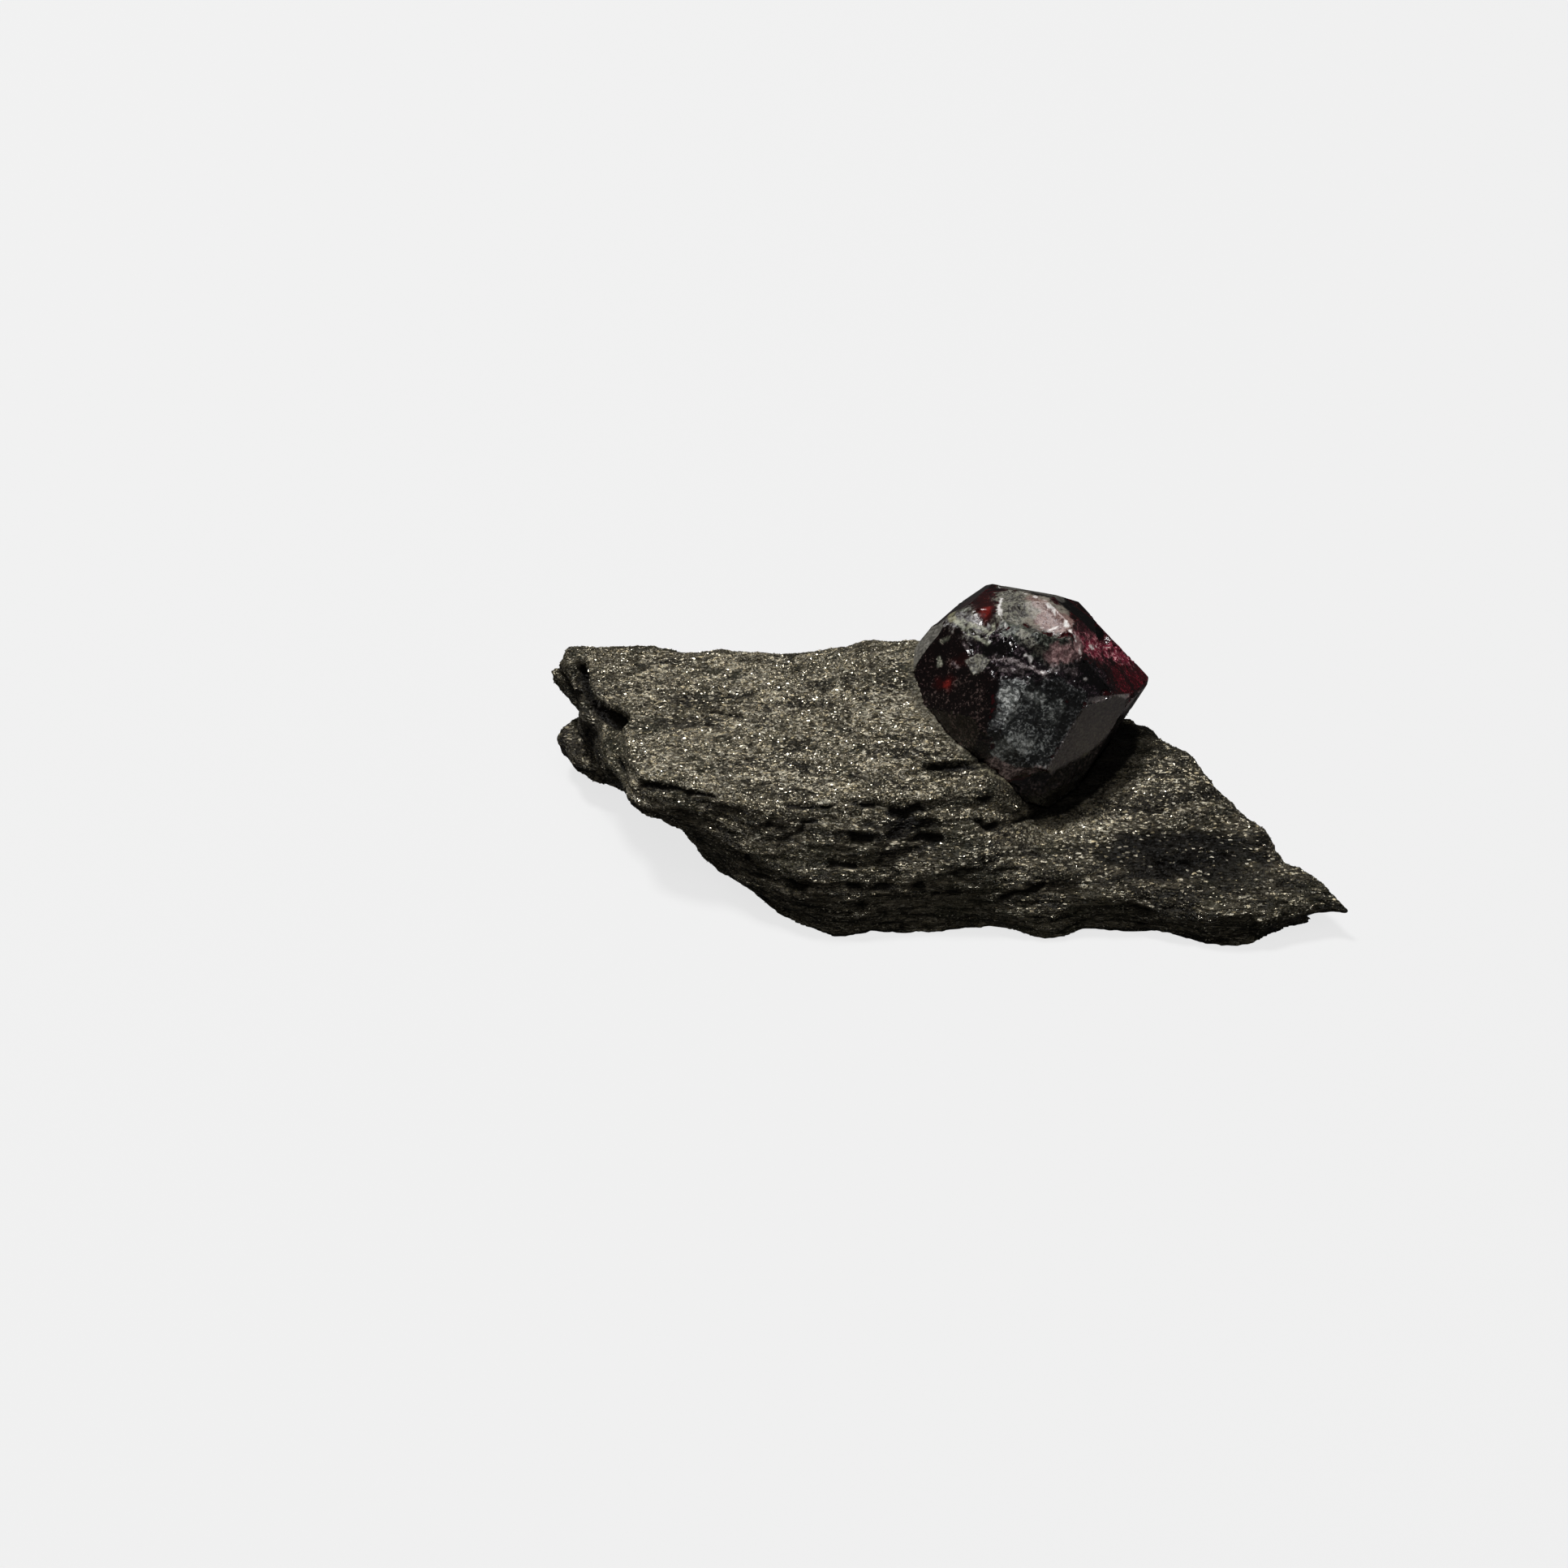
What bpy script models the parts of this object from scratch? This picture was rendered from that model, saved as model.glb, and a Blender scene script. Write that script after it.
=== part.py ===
# Garnet in matrix: one large, well-formed garnet crystal seated in the back edge of a slab of mica schist.
# The slab lies on its flat base. +X runs along its length, -Y is the side with the long broken face,
# and the origin is the middle of the bounding box, at the base.

import itertools
import math

import bmesh
import bpy
from mathutils import Euler, Vector, noise

MM = 0.001
CUT_TOLERANCE = 0.001 * MM
WELD_DISTANCE = 0.01 * MM

# The crystal: a rhombic dodecahedron whose edges are cut off by the faces of a trapezohedron.
# Both forms are measured in one unit, half the side of the cube that the crystal would fit.
CRYSTAL_UNIT = 6.15 * MM
CRYSTAL_CENTRE = Vector((5.7, 6.3, 11.7)) * MM
CRYSTAL_TURN = Euler((math.radians(89.1), math.radians(-23.1), math.radians(103.0)))
RHOMBIC_REACH = math.sqrt(2)
TRAPEZOHEDRAL_REACH = 1.478
# Faces that grew out further (+) or less far (-) than their form, as a share of their distance.
UNEVEN_GROWTH = {(-2, 1, 1): -0.065, (1, 1, -2): 0.04, (-1, 1, 2): 0.09, (-1, -1, 2): -0.03,
                 (2, 1, 1): -0.03, (1, 0, -1): 0.03, (0, 1, -1): -0.025, (-1, 1, 0): -0.015,
                 (1, 1, 0): -0.015}
SOCKET_GAP = 0.3 * MM

# Hollows where the crystal is broken: place, half sizes and turn about Z in degrees, in millimetres.
CRYSTAL_BREAKS = (((6.8, 6.2, 22.2), (3.1, 5.4, 2.6), 38),
                  ((1.1, 5.8, 21.1), (2.5, 2.8, 1.9), 0),
                  ((7.8, -0.2, 21.1), (3.2, 1.9, 2.1), -8),
                  ((13.7, 7.2, 18.1), (1.8, 3.3, 2.0), 20),
                  ((5.6, -4.1, 10.2), (3.2, 1.5, 1.6), 5))
# The balls that cut the hollows are lumpy: lumps over a ball's radius, and how far a lump stands out.
BREAK_LUMPS = 1.7
BREAK_ROUGHNESS = 0.22

# The schist: sheets of rock from the base up. Each has the height of its top and its broken outline,
# as (x, y) in millimetres.
SHEETS = (
    (2.2, ((-31.5, 10.6), (-32.7, 8.6), (-30.5, 7.2), (-27.5, 5.4), (-25.0, 3.4), (-22.8, 0.8),
           (-21.0, -2.6), (-18.3, -6.2), (-15.9, -8.8), (-13.2, -10.6), (-10.4, -11.6), (-7.0, -11.4),
           (-3.7, -10.9), (2.0, -11.3), (7.5, -11.7), (11.0, -11.2), (16.0, -11.3), (18.8, -11.9),
           (21.0, -13.0), (23.0, -13.2), (25.5, -12.3), (28.0, -11.0), (30.4, -10.0), (28.6, -7.6),
           (24.9, -3.4), (21.4, 0.8), (17.7, 4.6), (13.5, 8.5), (8.0, 11.6), (0.0, 12.4), (-8.0, 11.4),
           (-16.0, 12.2), (-24.0, 11.6))),
    (4.4, ((-33.6, 12.0), (-35.4, 9.6), (-33.2, 7.2), (-28.4, 3.6), (-24.8, 0.4), (-22.4, -2.8),
           (-20.6, -6.0), (-18.5, -9.1), (-14.8, -11.0), (-10.0, -11.6), (-4.0, -10.8), (3.0, -11.2),
           (10.0, -11.0), (16.0, -11.2), (20.5, -12.8), (23.5, -13.0), (28.2, -11.4), (31.0, -11.3),
           (34.2, -11.9), (32.4, -10.0), (29.2, -7.2), (25.4, -3.4), (21.8, 0.9), (18.1, 4.8),
           (13.5, 8.8), (8.0, 12.0), (0.0, 12.8), (-8.0, 11.9), (-16.0, 12.6), (-25.0, 12.2))),
    (6.6, ((-31.6, 12.6), (-32.6, 9.2), (-30.2, 4.8), (-27.8, 0.2), (-24.2, -2.8), (-22.0, -5.6),
           (-17.6, -9.0), (-12.0, -10.6), (-4.0, -10.2), (3.0, -10.2), (10.0, -10.0), (15.0, -8.8),
           (18.6, -6.8), (22.6, -5.6), (26.4, -6.4), (27.6, -6.0), (25.2, -3.0), (21.8, 1.0),
           (18.4, 5.0), (13.6, 9.2), (8.0, 12.2), (0.0, 12.6), (-8.0, 11.6), (-16.0, 13.0), (-25.0, 13.0))),
    (8.7, ((-35.4, 13.2), (-34.0, 8.4), (-30.6, 4.6), (-28.6, 0.8), (-27.0, -3.6), (-21.6, -5.8),
           (-16.8, -8.8), (-10.0, -9.6), (-4.0, -9.2), (2.0, -9.0), (7.0, -8.0), (11.0, -6.2),
           (15.0, -5.0), (19.0, -4.0), (23.4, -2.2), (21.8, 1.8), (19.0, 5.2), (13.8, 9.0), (8.0, 12.0),
           (0.0, 12.6), (-8.0, 11.8), (-16.0, 12.6), (-25.0, 13.2))),
    (10.5, ((-35.2, 13.4), (-33.9, 9.4), (-32.4, 5.6), (-29.2, 2.8), (-28.0, -3.4), (-21.4, -5.4),
           (-15.6, -8.4), (-10.0, -8.8), (-5.0, -8.2), (1.0, -7.2), (5.6, -5.4), (8.0, -3.6), (9.0, 2.0),
           (7.0, 10.8), (0.0, 12.8), (-8.0, 11.6), (-16.0, 12.2), (-25.0, 13.2))),
    (12.0, ((-33.8, 13.4), (-32.9, 9.6), (-32.4, 6.2), (-29.0, 4.1), (-28.6, 0.9), (-27.4, -3.6),
           (-21.0, -5.0), (-15.4, -7.4), (-10.0, -7.4), (-5.3, -6.6), (0.3, -5.4), (5.0, -4.4),
           (6.0, 0.0), (4.5, 6.0), (2.5, 11.2), (-3.0, 11.2), (-8.6, 11.0), (-14.0, 11.2), (-19.8, 12.2),
           (-22.2, 12.0), (-27.3, 13.6))))
SHEET_OVERLAP = 0.2
# The lowest sheet starts this far below the base, which is then cut flat.
BASE_TRIM = 0.6

# How the sheets swell over the crystal's shoulder (+) and sag in front of it (-): place, radii and
# height in millimetres, all at the top sheet and fading to nothing at the base.
SHEET_SWELLS = (((-3.5, 7.0), (9.5, 8.5), 4.6), ((8.5, -4.5), (5.8, 5.8), -4.2))
# The whole top sheet sinks by SHEET_SETTLE and rises towards the back by SHEET_TILT for each millimetre.
SHEET_SETTLE = -1.2
SHEET_TILT = 0.06

# Surface of the schist, in millimetres: broad lumps, and thin layers that stand out or are broken back
# along the sides. A layer's edge is as sharp as LEDGE_LIP says, as a share of its thickness, and the
# layers rise and fall by LEDGE_WAVE thicknesses.
SURFACE_STEP = 0.55
ROUNDING_PASSES = 4
ROUNDING_FACTOR = 0.5
LUMP_SIZE = 4.5
LUMP_HEIGHT = 0.5
LEDGE_SPACING = 1.5
LEDGE_LENGTH = 7.0
LEDGE_DEPTH = 1.0
LEDGE_LIP = 0.3
LEDGE_WAVE = 0.9
SCHIST_TRIANGLES = 8200

# Distance between the noise patterns of neighbouring layers and hollows
PATTERN_SHIFT = 3.7

# Base colour, roughness and metallic value of each piece
FINISHES = {"schist_matrix": ((0.10, 0.095, 0.08, 1.0), 0.55, 0.25),
            "garnet_crystal": ((0.06, 0.006, 0.010, 1.0), 0.2, 0.0)}


def clear_scene():
    for obj in list(bpy.data.objects):
        bpy.data.objects.remove(obj, do_unlink=True)


def new_collection(name):
    collection = bpy.data.collections.new(name)
    bpy.context.scene.collection.children.link(collection)
    return collection


def new_object(name, mesh, collection):
    obj = bpy.data.objects.new(name, mesh)
    collection.objects.link(obj)
    return obj


def give_material(obj):
    colour, roughness, metallic = FINISHES[obj.name]
    material = bpy.data.materials.new(obj.name)
    material.use_nodes = True
    shader = material.node_tree.nodes["Principled BSDF"]
    shader.inputs["Base Color"].default_value = colour
    shader.inputs["Roughness"].default_value = roughness
    shader.inputs["Metallic"].default_value = metallic
    obj.data.materials.append(material)


def modified_mesh(obj):
    """Return a new mesh of the object as its modifiers and curve settings leave it."""
    depsgraph = bpy.context.evaluated_depsgraph_get()
    return bpy.data.meshes.new_from_object(obj.evaluated_get(depsgraph))


def apply_modifiers(obj):
    mesh = modified_mesh(obj)
    obj.modifiers.clear()
    obj.data = mesh


def boolean(obj, other, operation):
    modifier = obj.modifiers.new(operation.lower(), "BOOLEAN")
    modifier.operation = operation
    modifier.solver = "EXACT"
    modifier.object = other


def cap_with_plane(bm, point, normal):
    """Cut away what lies beyond a plane and close the cut."""
    everything = bm.verts[:] + bm.edges[:] + bm.faces[:]
    bmesh.ops.bisect_plane(bm, geom=everything, dist=CUT_TOLERANCE, plane_co=point, plane_no=normal,
                           clear_outer=True)
    rim = [edge for edge in bm.edges if edge.is_boundary]
    if rim:
        bmesh.ops.holes_fill(bm, edges=rim)


# Crystal

def face_distances():
    """Give the outward direction and the distance of every face, in crystal units."""
    for form, reach in (((1, 1, 0), RHOMBIC_REACH), ((2, 1, 1), TRAPEZOHEDRAL_REACH)):
        signed = itertools.product(itertools.permutations(form), itertools.product((1, -1), repeat=3))
        faces = {tuple(size * sign for size, sign in zip(sizes, signs)) for sizes, signs in signed}
        for face in sorted(faces):
            yield Vector(face).normalized(), reach * (1 + UNEVEN_GROWTH.get(face, 0))


def crystal_mesh(name, grown=0.0):
    """Cut the crystal from a cube, each face moved out by the distance in grown."""
    bm = bmesh.new()
    bmesh.ops.create_cube(bm, size=6 * CRYSTAL_UNIT)
    for direction, reach in face_distances():
        cap_with_plane(bm, direction * (reach * CRYSTAL_UNIT + grown), direction)
    bmesh.ops.rotate(bm, verts=bm.verts, matrix=CRYSTAL_TURN.to_matrix())
    bmesh.ops.translate(bm, verts=bm.verts, vec=CRYSTAL_CENTRE)
    mesh = bpy.data.meshes.new(name)
    bm.to_mesh(mesh)
    bm.free()
    return mesh


def break_cutter(number, place, half_sizes, turn, collection):
    """Make a lumpy ball that bites a shell-like hollow out of the crystal."""
    bm = bmesh.new()
    bmesh.ops.create_icosphere(bm, subdivisions=3, radius=1.0)
    for vert in bm.verts:
        lump = noise.noise(vert.co * BREAK_LUMPS + Vector((PATTERN_SHIFT * number, 0, 0)))
        swell = (1 + BREAK_ROUGHNESS * lump) * MM
        vert.co = Vector(size * co * swell for size, co in zip(half_sizes, vert.co))
    mesh = bpy.data.meshes.new(f"crystal_break_{number}")
    bm.to_mesh(mesh)
    bm.free()
    cutter = new_object(mesh.name, mesh, collection)
    cutter.location = Vector(place) * MM
    cutter.rotation_euler.z = math.radians(turn)
    return cutter


def make_crystal(parts, cutters):
    crystal = new_object("garnet_crystal", crystal_mesh("garnet_crystal"), parts)
    for number, (place, half_sizes, turn) in enumerate(CRYSTAL_BREAKS):
        boolean(crystal, break_cutter(number, place, half_sizes, turn, cutters), "DIFFERENCE")
    give_material(crystal)
    return crystal


# Schist

def sheet_object(outline, low, high, collection):
    """Extrude a flat outline between two heights and weld its caps."""
    curve = bpy.data.curves.new("sheet", "CURVE")
    curve.dimensions = "2D"
    curve.fill_mode = "BOTH"
    curve.extrude = (high - low) / 2 * MM
    spline = curve.splines.new("POLY")
    spline.points.add(len(outline) - 1)
    for point, (x, y) in zip(spline.points, outline):
        point.co = (x * MM, y * MM, 0, 1)
    spline.use_cyclic_u = True
    source = new_object("sheet", curve, collection)
    source.location.z = (high + low) / 2 * MM
    bpy.context.view_layer.update()
    mesh = modified_mesh(source)
    mesh.transform(source.matrix_world)
    bpy.data.objects.remove(source)
    bm = bmesh.new()
    bm.from_mesh(mesh)
    bmesh.ops.remove_doubles(bm, verts=bm.verts, dist=WELD_DISTANCE)
    bmesh.ops.recalc_face_normals(bm, faces=bm.faces)
    bm.to_mesh(mesh)
    bm.free()
    return new_object("sheet", mesh, collection)


def stacked_sheets(parts):
    """Join all sheets into one closed body."""
    bottom = -BASE_TRIM
    sheets = []
    for top, outline in SHEETS:
        sheets.append(sheet_object(outline, bottom - SHEET_OVERLAP, top, parts))
        bottom = top
    body = sheets[0]
    for sheet in sheets[1:]:
        boolean(body, sheet, "UNION")
        apply_modifiers(body)
        bpy.data.objects.remove(sheet)
    body.name = body.data.name = "schist_matrix"
    return body


def sheet_lift(x, y):
    """Height that the top sheet gains or loses at a place, in millimetres."""
    lift = SHEET_SETTLE + SHEET_TILT * y
    for (middle_x, middle_y), (radius_x, radius_y), height in SHEET_SWELLS:
        lift += height * math.exp(-((x - middle_x) / radius_x) ** 2 - ((y - middle_y) / radius_y) ** 2)
    return lift


def ledge_reach(point):
    """How far the split layer at a point stands out (+) or is broken back (-), from -1 to 1."""
    place = Vector((point.x, point.y, 0)) / LEDGE_LENGTH
    level = point.z / LEDGE_SPACING + LEDGE_WAVE * noise.noise(place)
    layer = math.floor(level)
    lip = min(1, (level - layer) / LEDGE_LIP)
    above = noise.noise(place + Vector((0, 0, PATTERN_SHIFT * layer)))
    below = noise.noise(place + Vector((0, 0, PATTERN_SHIFT * (layer - 1))))
    return below + (above - below) * lip


def weathered(point, normal):
    """Move a point of the stacked sheets, in millimetres, to where the split and worn rock has it."""
    lumps = LUMP_HEIGHT * noise.noise(point / LUMP_SIZE)
    ledges = LEDGE_DEPTH * ledge_reach(point) * math.sqrt(1 - abs(normal.z))
    moved = point + normal * (lumps + ledges)
    height = max(point.z, 0) / SHEETS[-1][0]
    moved.z += sheet_lift(point.x, point.y) * height ** 2
    return moved


def weather(schist):
    """Round and roughen the whole surface, cut the base flat, and return the number of triangles."""
    bm = bmesh.new()
    bm.from_mesh(schist.data)
    for _ in range(ROUNDING_PASSES):
        bmesh.ops.smooth_vert(bm, verts=bm.verts, factor=ROUNDING_FACTOR,
                              use_axis_x=True, use_axis_y=True, use_axis_z=True)
    bm.normal_update()
    places = [weathered(vert.co / MM, vert.normal) for vert in bm.verts]
    for vert, place in zip(bm.verts, places):
        vert.co = place * MM
    cap_with_plane(bm, Vector((0, 0, 0)), Vector((0, 0, -1)))
    bmesh.ops.triangulate(bm, faces=bm.faces)
    triangles = len(bm.faces)
    bm.to_mesh(schist.data)
    bm.free()
    return triangles


def make_schist(parts, cutters):
    schist = stacked_sheets(parts)
    remesh = schist.modifiers.new("surface", "REMESH")
    remesh.mode = "VOXEL"
    remesh.voxel_size = SURFACE_STEP * MM
    apply_modifiers(schist)
    triangles = weather(schist)
    decimate = schist.modifiers.new("fewer faces", "DECIMATE")
    decimate.ratio = SCHIST_TRIANGLES / triangles
    apply_modifiers(schist)

    socket = new_object("crystal_socket", crystal_mesh("crystal_socket", SOCKET_GAP), cutters)
    boolean(schist, socket, "DIFFERENCE")
    give_material(schist)
    return schist


def centre_on_base(objects):
    """Hang everything on one empty, moved so that the box of the named parts stands on the origin."""
    bpy.context.view_layer.update()
    corners = []
    for obj in objects:
        mesh = modified_mesh(obj)
        corners += [vert.co.copy() for vert in mesh.vertices]
        bpy.data.meshes.remove(mesh)
    low = Vector(min(corner[axis] for corner in corners) for axis in range(3))
    high = Vector(max(corner[axis] for corner in corners) for axis in range(3))
    specimen = bpy.data.objects.new("specimen", None)
    bpy.context.scene.collection.objects.link(specimen)
    for obj in bpy.data.objects:
        if obj != specimen:
            obj.parent = specimen
    specimen.location = (-(low.x + high.x) / 2, -(low.y + high.y) / 2, -low.z)


def main():
    clear_scene()
    parts = new_collection("garnet_in_matrix")
    cutters = new_collection("cutters")
    schist = make_schist(parts, cutters)
    crystal = make_crystal(parts, cutters)
    for cutter in cutters.objects:
        cutter.hide_render = True
        cutter.display_type = "WIRE"
    centre_on_base((schist, crystal))


main()
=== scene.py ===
import math

import bpy
import numpy as np
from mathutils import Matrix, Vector, noise


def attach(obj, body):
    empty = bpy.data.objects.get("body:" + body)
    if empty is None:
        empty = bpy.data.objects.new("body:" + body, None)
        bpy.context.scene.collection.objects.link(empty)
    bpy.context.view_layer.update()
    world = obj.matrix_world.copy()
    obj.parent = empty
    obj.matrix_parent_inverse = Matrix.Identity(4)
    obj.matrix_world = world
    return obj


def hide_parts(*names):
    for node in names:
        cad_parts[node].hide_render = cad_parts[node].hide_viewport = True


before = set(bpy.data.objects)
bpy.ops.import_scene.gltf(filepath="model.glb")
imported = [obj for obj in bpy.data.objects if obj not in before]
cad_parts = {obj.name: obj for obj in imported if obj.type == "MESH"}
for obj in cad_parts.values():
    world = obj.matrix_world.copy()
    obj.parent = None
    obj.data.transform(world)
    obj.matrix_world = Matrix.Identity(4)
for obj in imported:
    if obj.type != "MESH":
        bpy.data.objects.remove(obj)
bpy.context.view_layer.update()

mm = 0.001

# Selecting, modifiers and mesh points

def only(obj):
    # make one object the selected and active one
    bpy.ops.object.select_all(action="DESELECT")
    obj.select_set(True)
    bpy.context.view_layer.objects.active = obj


def applyModifier(obj, kind, **settings):
    only(obj)
    modifier = obj.modifiers.new(kind.lower(), kind)
    for name, value in settings.items():
        setattr(modifier, name, value)
    bpy.ops.object.modifier_apply(modifier=modifier.name)


def inMm(data, name="co"):
    # one vector of every item in data as rows of an array, places in millimetres
    rows = np.empty(len(data) * 3, np.float32)
    data.foreach_get(name, rows)
    return rows.reshape(-1, 3).astype(float) * (1 if name == "normal" else 1 / mm)


def setPlaces(obj, places):
    obj.data.vertices.foreach_set("co", (places * mm).astype(np.float32).ravel())
    obj.data.update()


def storeShade(obj, name, values):
    # keep one number for each vertex, for the materials to read
    obj.data.attributes.new(name, "FLOAT", "POINT").data.foreach_set("value", values.astype(np.float32))


def readShade(obj, name):
    values = np.empty(len(obj.data.vertices), np.float32)
    obj.data.attributes[name].data.foreach_get("value", values)
    return values


def surfaceOf(obj):
    # the middle, direction and size in square millimetres of every face
    mesh = obj.data
    areas = np.empty(len(mesh.polygons), np.float32)
    mesh.polygons.foreach_get("area", areas)
    return inMm(mesh.polygons, "center"), inMm(mesh.polygons, "normal"), areas / mm ** 2


def addObject(name, mesh):
    piece = bpy.data.objects.new(name, mesh)
    bpy.context.scene.collection.objects.link(piece)
    return piece


def copyOfNode(node, name):
    # a merged copy of a CAD node's mesh; the node itself stays as it is
    piece = addObject(name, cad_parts[node].data.copy())
    piece.data.materials.clear()
    only(piece)
    bpy.ops.object.mode_set(mode="EDIT")
    bpy.ops.mesh.select_all(action="SELECT")
    bpy.ops.mesh.remove_doubles(threshold=0.001 * mm)
    bpy.ops.object.mode_set(mode="OBJECT")
    piece.data.name = name
    return piece


def noiseAt(places, sizes, seed):
    # smooth noise from -1 to 1 at every place; sizes are how far a lump reaches along x, y and z
    return np.array([noise.noise(place) for place in (places / sizes + seed).tolist()])


def lengths(rows):
    return np.linalg.norm(rows, axis=1)


def ballReach(places, centre, radii):
    # how far out each place is in a stretched ball: 0 in its middle, 1 on its skin
    return np.sqrt((((places - centre) / radii) ** 2).sum(1))


def ramp(values, start, end):
    # 0 at start, 1 at end, smooth between
    share = np.clip((values - start) / (end - start), 0, 1)
    return share * share * (3 - 2 * share)


def distanceTo(places, line):
    # how far each place is from a line through points
    nearest = np.full(len(places), 1e9)
    for start, end in zip(np.array(line[:-1], float), np.array(line[1:], float)):
        along = end - start
        share = np.clip((places - start) @ along / (along @ along), 0, 1)
        nearest = np.minimum(nearest, lengths(places - start - share[:, None] * along))
    return nearest


def fractalAt(places, size, seed):
    # noise of three sizes, each half as strong as the one before
    shares = ((1.0, 1.0), (0.5, 0.43), (0.25, 0.19))
    return sum(share * noiseAt(places, (size * scale,) * 3, seed + 7 * scale) for share, scale in shares)


# Materials

def newMaterial(name):
    # start a material, which the nodes that follow are added to, and hand back its shader
    global material
    material = bpy.data.materials.new(name)
    material.use_nodes = True
    return material.node_tree.nodes["Principled BSDF"]


def node(kind, sockets=None, **settings):
    # add a node to the newest material; a socket's value is a number, a colour or another node's output
    made = material.node_tree.nodes.new("ShaderNode" + kind)
    for name, value in settings.items():
        setattr(made, name, value)
    fill(made, sockets or {})
    return made


def fill(made, sockets):
    for name, value in sockets.items():
        if isinstance(value, bpy.types.NodeSocket):
            material.node_tree.links.new(value, made.inputs[name])
        else:
            made.inputs[name].default_value = value


def mathNode(operation, a, b=0.5):
    return node("Math", {0: a, 1: b}, operation=operation).outputs[0]


def times(a, b):
    return mathNode("MULTIPLY", a, b)


def plus(a, b):
    return mathNode("ADD", a, b)


def minus(a, b):
    return mathNode("SUBTRACT", a, b)


def vectorNode(operation, a, b=(0, 0, 0)):
    return node("VectorMath", {0: a, 1: b}, operation=operation).outputs[0]


def mixed(share, a, b):
    return node("Mix", {0: share, 6: a, 7: b}, data_type="RGBA").outputs[2]


def between(value, start, end, low=0.0, high=1.0):
    limits = {"From Min": start, "From Max": end, "To Min": low, "To Max": high}
    made = node("MapRange", {"Value": value, **limits}, interpolation_type="SMOOTHSTEP")
    return made.outputs[0]


def coordinates(scale):
    # object coordinates in millimetres, scaled along x, y and z
    place = node("TexCoord").outputs["Object"]
    return node("Mapping", {"Vector": place, "Scale": [s / mm for s in scale]}).outputs[0]


def shadeOf(name):
    return node("Attribute", attribute_name=name).outputs["Fac"]


def noiseNode(place, scale, detail=3.0, roughness=0.6):
    made = node("TexNoise", {"Vector": place, "Scale": scale, "Detail": detail, "Roughness": roughness})
    return made.outputs["Fac"]


def cells(place, scale):
    # a random colour for every cell of a broken-up pattern
    return node("TexVoronoi", {"Vector": place, "Scale": scale}).outputs["Color"]


def tilted(normal, colour, amount):
    # lean the normal of every cell its own way
    lean = vectorNode("SUBTRACT", colour, (0.5, 0.5, 0.5))
    lean = node("VectorMath", {0: lean, "Scale": amount}, operation="SCALE").outputs[0]
    return vectorNode("NORMALIZE", vectorNode("ADD", normal, lean))


# Camera, floor and light

view = {
    "elevation": 42.0, "distance": 265.0, "lens": 70.0, "sensor": 36.0,
    "target": (-13.8, -0.52, 6.0),
}
stage = {
    "floorSide": 3.0, "floorColour": (0.13, 0.13, 0.13, 1), "floorGlow": 0.75,
    "floorRoughness": 0.9, "floorShine": 0.1,
    "key": {"place": (-0.37, 0.35, 1.21), "side": 0.24, "power": 12.6},
    "fill": {"place": (0.0, -0.45, 1.2), "side": 1.2, "power": 4.8},
    "surround": 0.035,
}


viewTilt = math.radians(view["elevation"])
toCamera = np.array((0, -math.cos(viewTilt), math.sin(viewTilt)))


def makeCamera():
    target = Vector(view["target"]) * mm
    bpy.ops.object.camera_add(location=target + Vector(toCamera) * view["distance"] * mm,
                              rotation=(math.pi / 2 - viewTilt, 0, 0))
    camera = bpy.context.object
    camera.data.lens = view["lens"]
    camera.data.sensor_width = view["sensor"]
    camera.data.clip_start = 5 * mm
    bpy.context.scene.camera = camera


def addSoftBox(name, place, side, power, reflected):
    toward = -Vector(place)
    bpy.ops.object.light_add(type="AREA", location=place, rotation=toward.to_track_quat("-Z", "Y").to_euler())
    light = bpy.context.object
    light.name = name
    light.data.size = side
    light.data.energy = power
    light.visible_glossy = reflected


def makeStage():
    bpy.ops.mesh.primitive_plane_add(size=stage["floorSide"])
    floor = bpy.context.object
    floor.name = "paleFloor"
    fill(newMaterial("paleFloor"),
         {"Base Color": stage["floorColour"], "Roughness": stage["floorRoughness"],
          "Specular IOR Level": stage["floorShine"],
          "Emission Color": (1, 1, 1, 1), "Emission Strength": stage["floorGlow"]})
    floor.data.materials.append(material)
    # a light table: it glows a little, and throws no light or reflection back at the stone
    floor.visible_glossy = floor.visible_diffuse = False
    addSoftBox("keyLight", reflected=True, **stage["key"])
    addSoftBox("fillLight", reflected=False, **stage["fill"])
    world = bpy.data.worlds.new("studio")
    world.use_nodes = True
    background = world.node_tree.nodes["Background"]
    background.inputs["Color"].default_value = (1, 1, 1, 1)
    background.inputs["Strength"].default_value = stage["surround"]
    bpy.context.scene.world = world
    bpy.context.scene.view_settings.view_transform = "Standard"


makeCamera()
makeStage()
print("stage: camera, floor and two soft boxes")


# The crystal's flat faces, which the rock's socket follows too

garnet = {
    "gridStep": 0.134, "edgeSnap": 0.075, "openDepth": 0.12, "smallestFace": 2.0,
    "ior": 1.79, "absorbColour": (0.78, 0.0, 0.04, 1), "absorbDensity": 1500.0,
    "throughColour": (0.2, 0.008, 0.014, 1),
    "bites": 260, "biteSizes": (0.3, 1.2), "nicks": 90, "nickSizes": (0.2, 0.5), "grainHeight": 0.05,
    "strokeFade": (0.75, 1.1), "glowFade": (0.1, 1.25), "maroonEnds": (3.5, 3.8), "coatBegins": (3.4, 3.7),
}


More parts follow.
